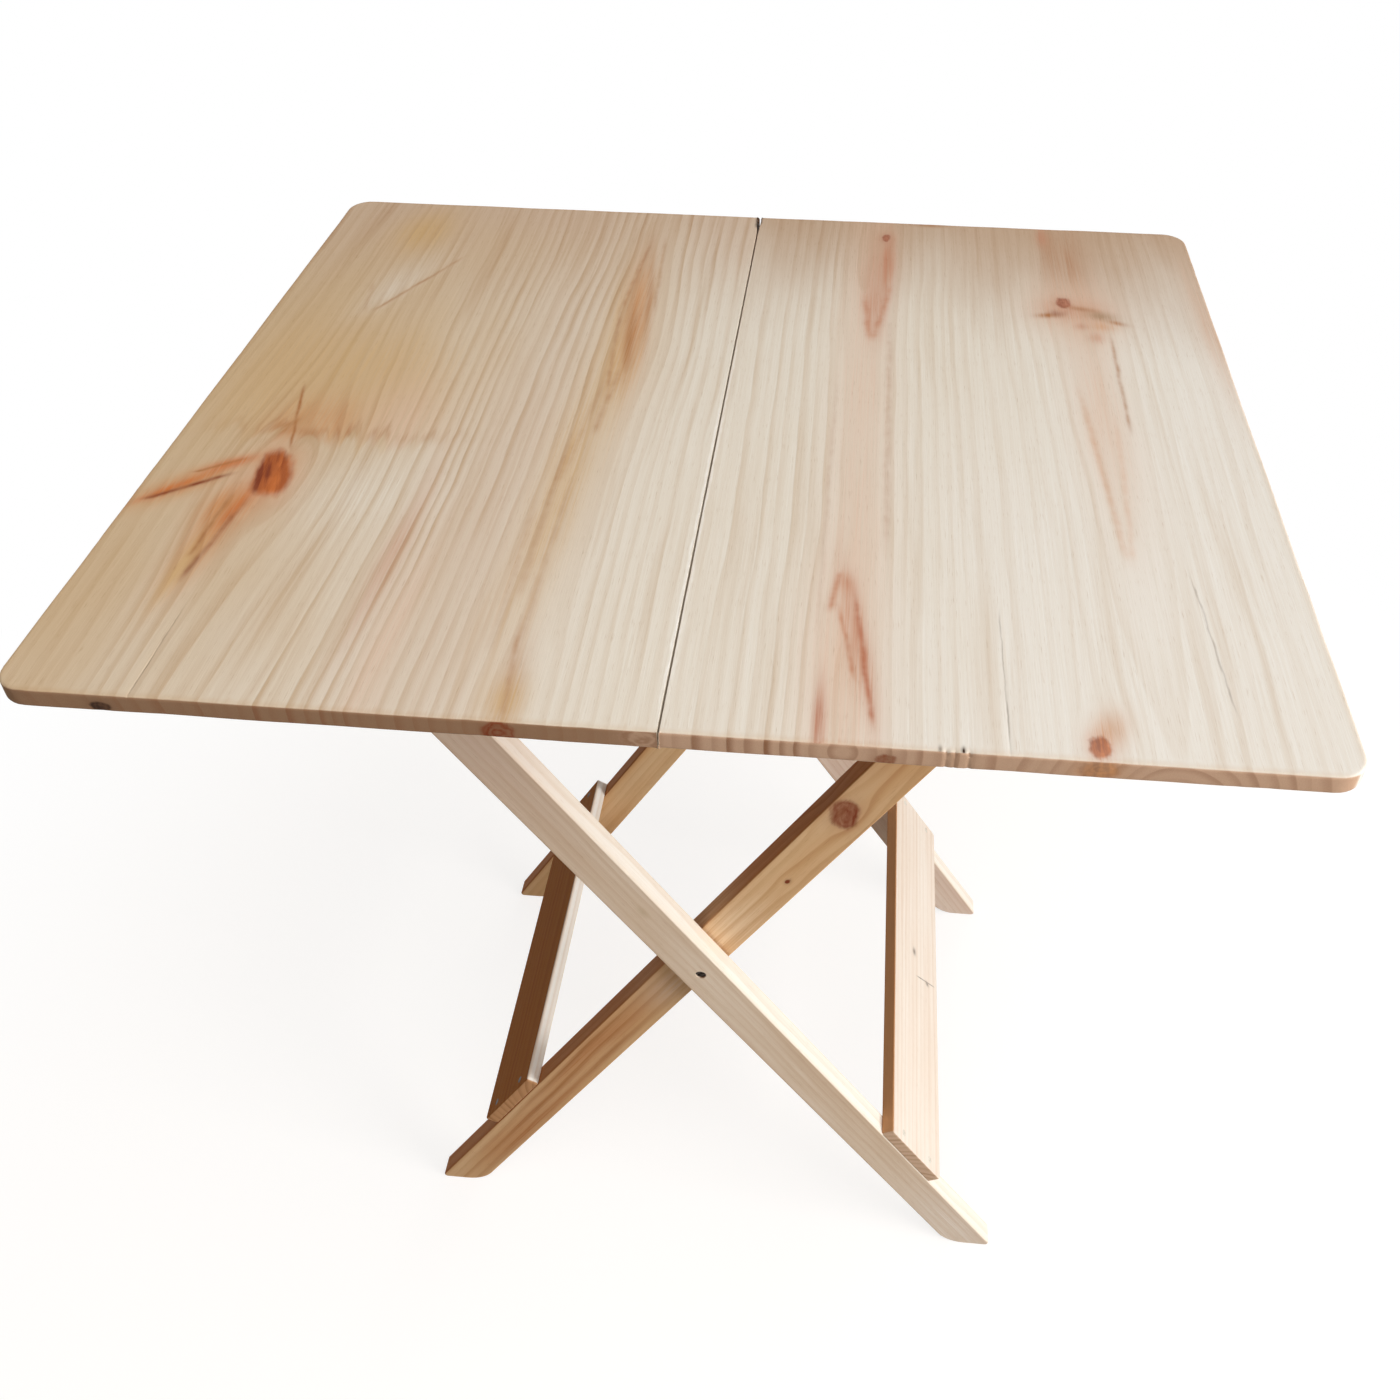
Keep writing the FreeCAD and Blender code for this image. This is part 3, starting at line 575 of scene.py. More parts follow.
LEFT_LEAF = {
    "seed": 4.0,
    "spacing": 8.0,
    "tints": (PALE, TAN),
    "toning": (-0.2, -20.0, -310.0),
    # painted shade towards the far edge
    "far_shade_tint": DUSKY,
    "far_shading": (0.0, 80.0, 330.0),
    "clear": (-132.0, 0.2, 72.0),
    "banding": 0.8,
    "look": dict(LEAF_LOOK, end=DARK_END, line_share=0.9),
    "hearts": (
        Heart(-72.0, 13.0, rises=((85.0, 75.0, 8.0), (-275.0, 50.0, 8.0))),
        Heart(-350.0, 25.0),
    ),
    "knots": (
        Knot(-252.0, -94.0, 11.5, 23.0, RUST, DARK_KNOT, push=2.3, stretch=2.6, turn=12.0, rings=0.08),
    ),
    "spots": (
        Spot(-118.0, -120.0, 46.0, 270.0, DUSKY, 0.5),
        Spot(-232.0, 10.0, 56.0, 84.0, HONEY, 0.58, cut=-57.0),
        Spot(-248.0, -36.0, 17.0, 27.0, ORANGE, 0.5, cut=-57.0),
        Spot(-206.0, -30.0, 24.0, 46.0, ROSY, 0.5, cut=-57.0),
        Spot(-252.0, 230.0, 20.0, 38.0, HONEY, 0.75),
        Spot(-290.0, 30.0, 26.0, 80.0, HONEY, 0.35),
        Spot(-205.0, -108.0, 38.0, 34.0, PALE, 0.5),
        Spot(-299.0, -108.0, 10.0, 32.0, ORANGE, 0.85, turn=-46.0),
        Spot(-281.0, -86.0, 5.0, 16.0, RUST, 0.75, turn=-56.0),
        Spot(-304.0, -112.0, 3.0, 22.0, RUST, 0.7, turn=-46.0),
        Spot(-266.0, -126.0, 14.0, 22.0, ORANGE, 0.9, turn=-8.0),
        Spot(-266.0, -158.0, 11.5, 42.0, ORANGE, 0.7, turn=-4.0),
        Spot(-262.0, -130.0, 3.5, 24.0, RUST, 0.7, turn=-12.0),
        Spot(-270.0, -180.0, 5.0, 30.0, HONEY, 0.7, turn=-3.0),
        Spot(-250.0, 150.0, 14.0, 46.0, PALE, 0.3, turn=-18.0),
        Spot(-248.0, 135.0, 8.0, 36.0, CREAM, 0.25, turn=-24.0),
        Spot(-69.0, 110.0, 24.0, 110.0, SAND, 0.6, turn=4.0),
        Spot(-76.0, 60.0, 12.0, 96.0, HONEY, 0.45, turn=5.0),
        Spot(-71.5, 112.0, 9.0, 82.0, ORANGE, 0.7, turn=4.5),
        Spot(-72.0, 84.0, 3.6, 46.0, BROWN, 0.7, turn=5.5),
        Spot(-66.5, 140.0, 2.6, 62.0, BROWN, 0.45, turn=6.0),
        Spot(-86.0, -85.0, 15.0, 135.0, HONEY, 0.55),
        Spot(-78.0, -262.0, 7.0, 36.0, BROWN, 0.4),
        Spot(-78.0, -266.0, 10.0, 18.0, HONEY, 0.6),
        Spot(-167.0, -160.0, 7.0, 70.0, RED_HEART, 0.4),
        Spot(-148.0, -230.0, 9.0, 70.0, ROSY, 0.5),
    ),
    "marks": (
        Mark(-270.0, 10.0, -251.0, -72.0, 1.1, BROWN, 0.85),
        Mark(-255.0, -205.0, -255.0, -281.0, 0.4, CRACK, 0.4),
        Mark(-209.0, 198.0, -257.0, 98.0, 1.5, BROWN, 0.5),
        Mark(-268.0, 150.0, -260.0, 98.0, 1.6, BROWN, 0.25),
        Mark(-77.0, 246.0, -85.0, 110.0, 1.6, BROWN, 0.4),
        Mark(-69.0, 246.0, -60.0, 110.0, 1.6, BROWN, 0.35),
        Mark(-85.0, 130.0, -74.0, 0.0, 1.8, BROWN, 0.4),
        Mark(-71.0, 50.0, -74.0, -40.0, 2.2, BROWN, 0.4),
        Mark(-78.0, 40.0, -85.0, -90.0, 2.4, BROWN, 0.25),
        Mark(-88.0, -30.0, -86.0, -200.0, 2.6, BROWN, 0.25),
        Mark(-79.0, -70.0, -78.0, -230.0, 2.2, BROWN, 0.22),
        Mark(-95.0, -90.0, -91.0, -240.0, 2.2, BROWN, 0.2),
        Mark(-272.0, -92.0, -318.0, -127.0, 3.0, DARK_KNOT, 0.75),
        Mark(-272.0, -78.0, -300.0, -98.0, 2.2, BROWN, 0.7),
        Mark(-257.0, -112.0, -267.0, -198.0, 1.9, DARK_KNOT, 0.45),
        Mark(-268.0, -110.0, -270.0, -176.0, 1.5, BROWN, 0.7),
        Mark(-80.0, -205.0, -74.0, -281.0, 1.8, BROWN, 0.4),
        Mark(-1.5, 60.0, -1.5, -290.0, 0.7, GLINT, 0.7),
        # painted shade in the seam's far end
        Mark(-1.4, 312.0, -1.4, 258.0, 1.4, HOLLOW_SHADE, 0.95),
    ),
    "end_spots": (
        Knot(-76.0, 693.5, 8.0, 6.0, END_LINE, DARK_KNOT, rings=0.7),
        # painted shade in a hole in the end grain
        Knot(-270.0, 692.5, 5.0, 3.0, CRACK, HOLLOW_SHADE),
        Knot(-8.0, 694.0, 10.0, 7.0, END, END_LINE, share=0.5, rings=0.9),
    ),
    "chips": (),
    "checks": (Check(255.0, -215.0, 0.3),),
    "far_notch": 2.2,
}

RIGHT_LEAF = {
    "seed": 11.0,
    "spacing": 8.0,
    "tints": (PALE, CREAM),
    "toning": (-0.4, 40.0, 330.0),
    # painted shade towards the far edge
    "far_shade_tint": FAR_SHADE_DUSK,
    "far_shading": (0.1, 92.0, 335.0),
    "clear": (55.0, 0.0, 60.0),
    "banding": 0.4,
    "look": dict(LEAF_LOOK, end=END, line_share=0.55),
    "hearts": (
        Heart(87.0, 13.0, rises=((240.0, 110.0, 9.0), (-255.0, 75.0, 9.0))),
        Heart(238.0, 12.0, dip=-0.045, rises=((200.0, 90.0, 3.0),)),
    ),
    "knots": (
        Knot(98.5, 252.0, 3.2, 6.0, RED_KNOT, DARK_KNOT, share=0.8),
        Knot(224.0, 160.0, 5.0, 7.5, RED_KNOT, DARK_KNOT, push=1.6, share=0.8),
        Knot(204.0, -271.0, 5.0, 7.0, RUST, DARK_KNOT, push=1.8, share=0.75, rings=0.1),
    ),
    "spots": (
        Spot(87.0, 0.0, 18.0, 420.0, ROSY, 0.5),
        Spot(84.0, -225.0, 22.0, 80.0, ROSY, 0.5),
        Spot(98.0, 195.0, 10.0, 62.0, RED_HEART, 0.45),
        Spot(102.0, 210.0, 3.4, 42.0, RED_HEART, 0.8),
        Spot(93.0, 138.0, 7.0, 40.0, RED_HEART, 0.5),
        Spot(91.0, -208.0, 5.5, 50.0, RED_HEART, 0.7, turn=9.0),
        Spot(84.0, -163.0, 4.0, 9.0, RED_HEART, 0.6, turn=9.0),
        Spot(74.5, -264.0, 3.2, 24.0, RED_KNOT, 0.8),
        Spot(233.0, 205.0, 16.0, 80.0, BROWN, 0.58),
        Spot(219.0, 236.0, 5.0, 52.0, BROWN, 0.4, turn=-3.0),
        Spot(231.0, 150.0, 26.0, 42.0, ROSY, 0.8),
        Spot(232.0, 148.0, 20.0, 15.0, RED_HEART, 0.52),
        Spot(212.0, 141.0, 8.0, 3.4, BROWN, 0.9, turn=10.0),
        Spot(221.0, 144.0, 3.4, 5.0, DARK_KNOT, 0.5),
        Spot(236.0, 152.0, 11.0, 3.2, BROWN, 0.75, turn=-14.0),
        Spot(248.0, 143.0, 10.0, 6.0, GREY_KNOT, 0.8, turn=-14.0),
        Spot(258.0, 134.0, 8.0, 3.2, BROWN, 0.6, turn=-20.0),
        Spot(247.0, 128.0, 9.0, 7.0, ORANGE, 0.5),
        Spot(233.0, 127.0, 4.0, 5.0, RED_KNOT, 0.55),
        Spot(241.0, 112.0, 5.0, 7.0, RED_HEART, 0.6),
        Spot(132.0, 277.0, 12.0, 3.0, BROWN, 0.6),
        Spot(216.0, 264.0, 4.0, 18.0, RED_HEART, 0.6),
        Spot(236.0, 20.0, 16.0, 120.0, ROSY, 0.55),
        Spot(319.0, 130.0, 8.0, 90.0, ORANGE, 0.35),
        Spot(209.0, -260.0, 8.0, 14.0, ORANGE, 0.6, turn=-20.0),
        # painted shade in the chips of the near edge
        Spot(134.0, -278.6, 0.8, 2.4, HOLLOW_SHADE, 0.8),
        Spot(144.0, -278.6, 1.0, 2.4, HOLLOW_SHADE, 0.8),
    ),
    "marks": (
        Mark(252.0, 128.0, 251.0, -10.0, 1.4, BROWN, 0.5),
        Mark(223.0, 60.0, 234.0, -142.0, 2.2, ORANGE, 0.35),
        Mark(244.0, 30.0, 236.0, -142.0, 2.0, ROSY, 0.5),
        Mark(162.5, -170.0, 162.5, -281.0, 0.4, CRACK, 0.35),
        Mark(264.0, -128.0, 271.0, -250.0, 0.5, CRACK, 0.3),
        Mark(103.0, 150.0, 103.5, -150.0, 2.2, BROWN, 0.28),
        Mark(70.0, 70.0, 70.0, -220.0, 1.6, BROWN, 0.2),
        Mark(1.5, 150.0, 1.5, -290.0, 0.7, GLINT, 0.7),
        # painted shade in the seam's far end
        Mark(1.2, 312.0, 1.2, 262.0, 0.9, HOLLOW_SHADE, 0.85),
        Mark(104.0, 182.0, 91.0, 90.0, 2.6, RED_HEART, 0.6),
        Mark(84.0, 165.0, 90.0, 92.0, 2.4, RED_HEART, 0.6),
        Mark(87.0, -160.0, 100.0, -272.0, 1.6, RED_KNOT, 0.8),
        Mark(79.0, -176.0, 91.0, -240.0, 1.5, RED_HEART, 0.6),
        Mark(75.0, -190.0, 80.0, -152.0, 2.0, RED_HEART, 0.6),
    ),
    "end_spots": (
        Knot(106.0, 692.0, 5.0, 3.5, END_LINE, DARK_KNOT, share=0.8),
        Knot(203.0, 694.5, 9.0, 6.0, ORANGE, END_LINE, share=0.7),
    ),
    "chips": (Chip(133.5, 1.2, 0.8), Chip(137.5, 0.8, 0.7), Chip(144.0, 1.4, 1.1)),
    "checks": (Check(162.5, -210.0, 0.2),),
    "far_notch": 0.7,
}


def measured(tree, socket, direction, start, scale):
    """How far a point lies from the start along a direction."""
    node = tree.nodes.new("ShaderNodeVectorMath")
    node.operation = "DOT_PRODUCT"
    tree.links.new(socket, node.inputs[0])
    node.inputs[1].default_value = direction
    return Field(node.outputs["Value"]) * scale - start


# The span of a slow noise over which a piece's first tint turns into its second
STICK_TONING = (-0.2, 0.22)


def stick_pine(name, axes, origin, looks):
    """The pine of a straight batten or board: axes along the grain, across it and through the piece."""
    material, tree, shader, where = new_material(name)
    place = where.outputs["Object"]
    along, across, through = [measured(tree, place, axis, origin.dot(axis), IN_MM) for axis in axes]
    facing_along = measured(tree, where.outputs["Normal"], axes[0], 0.0, 1.0)
    seed = looks["seed"]
    wander = grain(STICK_WANDER, seed, across, along, through)
    quiver = grain(STICK_QUIVER, seed, across, along, through)
    bent = around_knots(across + wander + quiver, along, looks.get("knots", ()))
    heart_across, heart_through = looks["heart"]
    lines = growth_lines(length(bent - heart_across, through - heart_through), looks["spacing"], seed)
    fibre = grain(FIBRE, seed, across, along, through)
    pores = grain(PORES, seed, across, along, through)
    drift = grain(STICK_DRIFT, seed, across, along, through)
    base = blend(ramp(drift, *STICK_TONING), *looks["tints"])
    # Painted shade on a face, and a painted highlight or painted shade along the upper long edge, as it faces
    # the light or away from it
    for side, distance in (("face", through), ("edge_light_and_shade", across)):
        if side in looks:
            tint, start, full = looks[side]
            base = blend(ramp(distance + fibre, start, full), base, tint)
    base = paint_features(base, across, bent, along, fibre, looks)
    half_wide, half_thick = looks["half"]
    from_arris = formula(
        "MAXIMUM", half_wide - formula("ABSOLUTE", across), half_thick - formula("ABSOLUTE", through)
    )
    edge = handled(from_arris, fibre, STICK_EDGE)
    cut = end_grain(lines, pores, looks["look"])
    finish_pine(tree, shader, base, cut, lines, fibre, pores, end_share(facing_along), edge, looks["look"])
    return material


RIGHT, AWAY, UP = Vector((1.0, 0.0, 0.0)), Vector((0.0, 1.0, 0.0)), Vector((0.0, 0.0, 1.0))
FRAME_SIGNS = {"outer": 1.0, "inner": -1.0}


def frame_axes(node_name):
    """Directions up the leg, towards its upper edge and through it, for a piece of either crossed frame."""
    sign = FRAME_SIGNS[node_name.split("_")[0]]
    up = Vector((-sign * math.sin(LEG_TILT), 0.0, math.cos(LEG_TILT)))
    edge = Vector((sign * math.cos(LEG_TILT), 0.0, math.sin(LEG_TILT)))
    return up, edge, AWAY


def leg_pine(node_name, looks):
    """The pine of a leg, with its places measured from where the legs cross."""
    origin = Vector((0.0, box_middle(node_name)[1], CROSSING))
    return stick_pine(node_name + "_pine", frame_axes(node_name), origin, looks)


def stretcher_pine(node_name, looks):
    """The pine of a stretcher, with its places measured from its middle."""
    up, edge, through = frame_axes(node_name)
    return stick_pine(node_name + "_pine", (through, up, edge), Vector(box_middle(node_name)), looks)


def cleat_pine(name, looks):
    """The pine of all cleats, with its places measured from the height of the pivots."""
    return stick_pine(name, (RIGHT, UP, AWAY), UP * PIVOT_HEIGHT, looks)


# Colours of the legs, stretchers and cleats
LEG_PALE = colour(238, 219, 198)
LEG_TAN = colour(226, 201, 175)
AMBER_PALE = colour(230, 194, 150)
AMBER = colour(220, 176, 128)
AMBER_DARK = colour(192, 132, 84)
# Painted light on the inner near leg just above where the legs cross
AMBER_LIT = colour(242, 210, 172)
# Painted shade on the inner stretcher's outer face, which faces away from the light
SHADE_UMBER = colour(163, 100, 38)
# Painted shade on the near outer leg's upper part, under the table top
LEG_SHADE_ROSY = colour(226, 194, 176)
LEG_BRIGHT = colour(246, 233, 220)
FAR_PALE = colour(243, 222, 206)
FAR_TAN = colour(232, 204, 186)
BOARD_PALE = colour(236, 225, 214)
BOARD_TAN = colour(232, 217, 203)
# Painted shade along the outer stretcher's upper long edge, which faces away from the light
BOARD_EDGE_SHADE = colour(200, 150, 108)
# Painted highlight along the outer legs' upper long edge, which faces the light
EDGE_HIGHLIGHT = colour(246, 239, 229)
# Painted shade along the inner legs' upper long edge, which faces away from the light
EDGE_SHADE_BROWN = colour(180, 118, 70)
# Half sizes across the grain and through the piece; one finish spans all cleats, so theirs reaches past them
LEG_HALF = (16.0, 8.0)
STRETCHER_HALF = (40.0, 5.0)
CLEAT_HALF = (32.0, 400.0)

# heart is where the tree's heart lies, across and through.
# face and edge_light_and_shade give a tint, and how far from the middle it starts and where it is full; the
# face tint is painted shade, and the edge_light_and_shade tint is a painted highlight or painted shade, as
# that edge faces the light or away from it.
LEG_LOOK = {
    "line": colour(234, 218, 200), "streak": STREAK, "end": END, "end_line": END_LINE, "line_share": 0.45,
}
AMBER_LOOK = dict(LEG_LOOK, line=colour(216, 182, 144), line_share=0.5)

OUTER_LEG = {
    "seed": 21.0, "spacing": 5.0, "heart": (-38.0, 24.0), "half": LEG_HALF,
    # a painted highlight along the upper long edge
    "tints": (LEG_PALE, LEG_TAN), "look": LEG_LOOK, "edge_light_and_shade": (EDGE_HIGHLIGHT, 14.8, 15.6),
}
OUTER_NEAR = dict(
    OUTER_LEG,
    spots=(
        # painted shade on the upper part, under the table top
        Spot(0.0, 300.0, 24.0, 120.0, LEG_SHADE_ROSY, 0.6),
        Spot(0.0, -385.0, 24.0, 70.0, LEG_BRIGHT, 0.7),
        Spot(3.7, 75.0, 3.0, 6.0, SAND, 0.8),
    ),
)
OUTER_FAR = dict(OUTER_LEG, seed=25.0, tints=(FAR_PALE, FAR_TAN))
INNER_LEG = {
    "seed": 32.0, "spacing": 5.5, "heart": (-30.0, 30.0), "half": LEG_HALF,
    # painted shade along the upper long edge
    "tints": (AMBER_PALE, AMBER), "look": AMBER_LOOK, "edge_light_and_shade": (EDGE_SHADE_BROWN, 14.8, 15.6),
}
INNER_NEAR = dict(
    INNER_LEG,
    seed=35.0,
    knots=(
        Knot(3.5, 180.0, 9.0, 12.5, DULL_KNOT, DARK_KNOT, push=1.1, turn=-31.5, rings=0.35),
        Knot(-3.8, 102.5, 1.6, 2.4, DARK_KNOT, DARK_KNOT, push=2.0),
    ),
    spots=(
        # painted light just above where the legs cross
        Spot(0.0, 36.0, 16.0, 36.0, AMBER_LIT, 0.9),
        Spot(0.0, -58.0, 12.0, 26.0, LEG_TAN, 0.6),
        Spot(5.0, -160.0, 6.0, 90.0, AMBER_DARK, 0.85),
        Spot(-8.0, -290.0, 6.0, 110.0, AMBER_DARK, 0.8),
        Spot(9.0, -190.0, 2.6, 100.0, BROWN, 0.7),
        Spot(0.0, -260.0, 2.6, 90.0, BROWN, 0.6),
        Spot(-9.0, -150.0, 2.2, 60.0, BROWN, 0.5),
        Spot(-3.0, -120.0, 4.0, 50.0, AMBER_DARK, 0.5),
        Spot(4.0, -330.0, 8.0, 70.0, AMBER_DARK, 0.5),
        Spot(10.0, 250.0, 10.0, 60.0, AMBER_DARK, 0.35),
    ),
)
OUTER_STRETCHER = {
    "seed": 41.0, "spacing": 6.0, "heart": (-70.0, -40.0), "half": STRETCHER_HALF,
    "tints": (BOARD_PALE, BOARD_TAN),
    "look": dict(LEG_LOOK, end=colour(214, 182, 154), end_line=colour(176, 138, 108)),
    # painted shade along the upper long edge
    "edge_light_and_shade": (BOARD_EDGE_SHADE, 38.4, 39.4),
    "marks": (Mark(2.0, -13.0, -36.0, -2.0, 1.8, PENCIL, 0.9),),
    "spots": (Spot(4.0, 10.0, 2.4, 3.4, PENCIL, 0.9), Spot(-20.0, -8.0, 3.0, 2.0, PENCIL, 0.8)),
}
INNER_STRETCHER = {
    "seed": 47.0, "spacing": 6.0, "heart": (50.0, -40.0), "half": STRETCHER_HALF,
    # painted shade on the outer face; a painted highlight along the upper long edge
    "tints": (LEG_PALE, LEG_TAN), "face": (SHADE_UMBER, 3.2, 4.2), "edge_light_and_shade": (GLINT, 38.4, 39.4),
    "look": dict(AMBER_LOOK, end=colour(200, 150, 106), end_line=colour(164, 114, 76), sheen=0.075),
}
CLEAT = {
    "seed": 53.0, "spacing": 4.5, "heart": (-30.0, 15.0), "half": CLEAT_HALF,
    "tints": (AMBER_PALE, AMBER), "look": AMBER_LOOK,
}


# Steel

# How fast patches and scratches change per millimetre, where they show, and their relief (height in metres)
PATCH_PACE = 0.35
PATCH_DETAIL = 4.0
PATCH_ROUGHNESS = 0.65
SCRATCH_PACE = 7.0
SCRATCH_RUN = 0.6
WEAR_SHOWS = (-0.12, 0.2)
RUST_SHOWS = (0.12, 0.24)
RUST_SCRATCHES = 0.4
RUST_SHARE = 0.8
PATCH_DULLNESS = 0.4
SCRATCH_DULLNESS = 0.25
PATCH_RELIEF = 0.5
STEEL_RELIEF_HEIGHT = 0.0002


def steel(name, body, worn, rust, roughness):
    """Plated steel with fine scratches, dull patches and a little rust."""
    material, tree, shader, where = new_material(name)
    x, y, z = parts_of(tree, where.outputs["Object"], IN_MM)
    patch_place = point(x * PATCH_PACE, y * PATCH_PACE, z * PATCH_PACE)
    patch = cloud(patch_place, PATCH_DETAIL, PATCH_ROUGHNESS)
    scratch = cloud(point(x * SCRATCH_RUN, y * SCRATCH_PACE, z * SCRATCH_PACE))
    base = blend(ramp(patch, *WEAR_SHOWS), body, worn)
    base = blend(ramp(patch + scratch * RUST_SCRATCHES, *RUST_SHOWS) * RUST_SHARE, base, rust)
    plug(tree, base, shader.inputs["Base Color"])
    shader.inputs["Metallic"].default_value = 1.0
    dull = patch * PATCH_DULLNESS + scratch * SCRATCH_DULLNESS + roughness
    plug(tree, dull, shader.inputs["Roughness"])
    add_bump(tree, shader, scratch + patch * PATCH_RELIEF, STEEL_RELIEF_HEIGHT, RELIEF_STRENGTH)
    return material


ZINC = steel("zinc_steel", colour(196, 196, 190), colour(160, 158, 150), colour(120, 84, 56), 0.36)
DARK_STEEL = steel("dark_steel", colour(66, 58, 52), colour(44, 38, 34), colour(104, 60, 34), 0.5)
NAIL_STEEL = steel("nail_steel", colour(226, 218, 206), colour(204, 194, 180), colour(176, 140, 106), 0.6)


# Leaves

# Grid steps of the leaf meshes, in millimetres: in the open, from the edges, and around chips and checks
GRID_STEP = 5.0
EDGE_STEPS = (0.0, 0.06, 0.22, 0.5, 0.9, 1.5, 2.5, 4.0)
CHIP_STEPS = (-1.8, -1.0, -0.4, 0.0, 0.4, 1.0, 1.8)
CHECK_STEPS = (-0.9, -0.35, 0.0, 0.35, 0.9)
# An open step is left out where it comes nearer to another one than this share of it
CROWDED = 0.35
# Shares of the corner's radius and of the wall's height that get a grid line
ROUND_SHARES = (0.2, 0.4, 0.6, 0.8, 1.0)
WALL_SHARES = (0.2, 0.5, 0.8)
# Edges that turn by more degrees than this are shaded sharp
SHARP_ANGLE = 50.0

# Wear of the edges: its noises, its depth, and how rounded the arrises are, outside and at the seam
WAVE_PACE = 0.03
WAVE_SEED = 7.0
WAVE_DEPTH = 0.16
NICK_PACE = 0.16
NICK_SEED = 3.0
NICK_START = 0.25
NICK_DEPTH = 0.7
SEAM_WEAR = 0.35
WEAR_REACH = 1.6
EASE = 1.5
SEAM_EASE = 0.3
EASE_LEAST = 0.75
EASE_WAVE = 0.3
NOTCH_LENGTH = 18.0
CHIP_WEAR = 0.4
CHIP_REACH = 1.2
# Checks at the near end: how they deepen towards it, and their half width
CHECK_TAPER = 40.0
CHECK_HALF_WIDTH = 0.5
# The planed surface: how deep it dips, and how fast that changes across and along the grain
PLANED_DIP = 0.05
PLANED_ACROSS = 0.02
PLANED_ALONG = 0.006
PLANED_SEED = 5.0


def fine_steps(low, high, extra):
    """Grid positions from low to high: close together at both ends and around the extra places."""
    places = {low + gap for gap in EDGE_STEPS} | {high - gap for gap in EDGE_STEPS} | set(extra)
    count = round((high - low) / GRID_STEP)
    for index in range(1, count):
        place = low + (high - low) * index / count
        if all(abs(place - other) > GRID_STEP * CROWDED for other in places):
            places.add(place)
    return sorted(places)


def around(rows, offsets):
    """Grid positions around each chip or check."""
    return [row.x + offset for row in rows for offset in offsets]


def hill(distance, width):
    """1 at no distance, falling away smoothly over the width."""
    return math.exp(-((distance / width) ** 2))


def rough(x, y, seed):
    """Smooth noise from -1 to 1."""
    return noise.noise(Vector((x, y, seed)))


def rounded(x, y, inset):
    """A grid point, moved in at the rounded outer corners, and the direction away from its edge."""
    if x - HALF_SEAM <= inset:
        return x, y, Vector((1.0, 0.0))
    corner_x, corner_y = HALF_WIDTH - CORNER, HALF_DEPTH - CORNER
    a, b = x - corner_x, abs(y) - corner_y
    if a > 0.0 and b > 0.0:
        out = Vector((a, math.copysign(b, y))).normalized()
        arc = out * max(a, b)
        return corner_x + arc.x, math.copysign(corner_y, y) + arc.y, -out
    if HALF_WIDTH - x <= inset:
        return x, y, Vector((-1.0, 0.0))
    return x, y, Vector((0.0, -math.copysign(1.0, y)))


def leaf_point(x, y, side, sign, chips, looks):
    """A point of a leaf's top (side 1) or underside (side -1), for the right leaf; the sign mirrors it."""
    inset = min(x - HALF_SEAM, HALF_WIDTH - x, HALF_DEPTH - abs(y))
    at_seam = x - HALF_SEAM <= inset
    px, py, inward = rounded(x, y, inset)
    wave = rough(px * WAVE_PACE, py * WAVE_PACE, sign * WAVE_SEED) + 1.0
    nick = max(0.0, rough(px * NICK_PACE, py * NICK_PACE, sign * NICK_SEED + side) - NICK_START)
    worn = (WAVE_DEPTH * wave + NICK_DEPTH * nick) * (SEAM_WEAR if at_seam else 1.0)
    ease = (SEAM_EASE if at_seam else EASE) * (EASE_LEAST + EASE_WAVE * wave)
    chipped = 0.0
    if y < 0.0 and not at_seam:
        chipped = sum(chip.depth * hill(x - chip.x, chip.width) for chip in chips)
    worn += CHIP_WEAR * chipped
    if at_seam and side > 0:
        worn += looks["far_notch"] * hill(y - HALF_DEPTH, NOTCH_LENGTH)
    if at_seam and side < 0:
        worn = -SEAM_TAPER
    px += inward.x * worn * math.exp(-inset / WEAR_REACH)
    py += inward.y * worn * math.exp(-inset / WEAR_REACH)
    drop = 0.0
    if inset < ease:
        drop = ease - math.sqrt(max(0.0, ease * ease - (ease - inset) ** 2))
    if side < 0:
        return (sign * px * MM, py * MM, (UNDERSIDE + drop) * MM)
    drop += chipped * math.exp(-inset / CHIP_REACH)
    drop += PLANED_DIP + PLANED_DIP * rough(px * PLANED_ACROSS, py * PLANED_ALONG, sign * PLANED_SEED)
    for check in looks["checks"]:
        deepened = max(0.0, min(1.0, (check.start - y) / CHECK_TAPER))
        drop += check.depth * deepened * max(0.0, 1.0 - abs(x - check.x) / CHECK_HALF_WIDTH)
    return (sign * px * MM, py * MM, (TOP - drop) * MM)


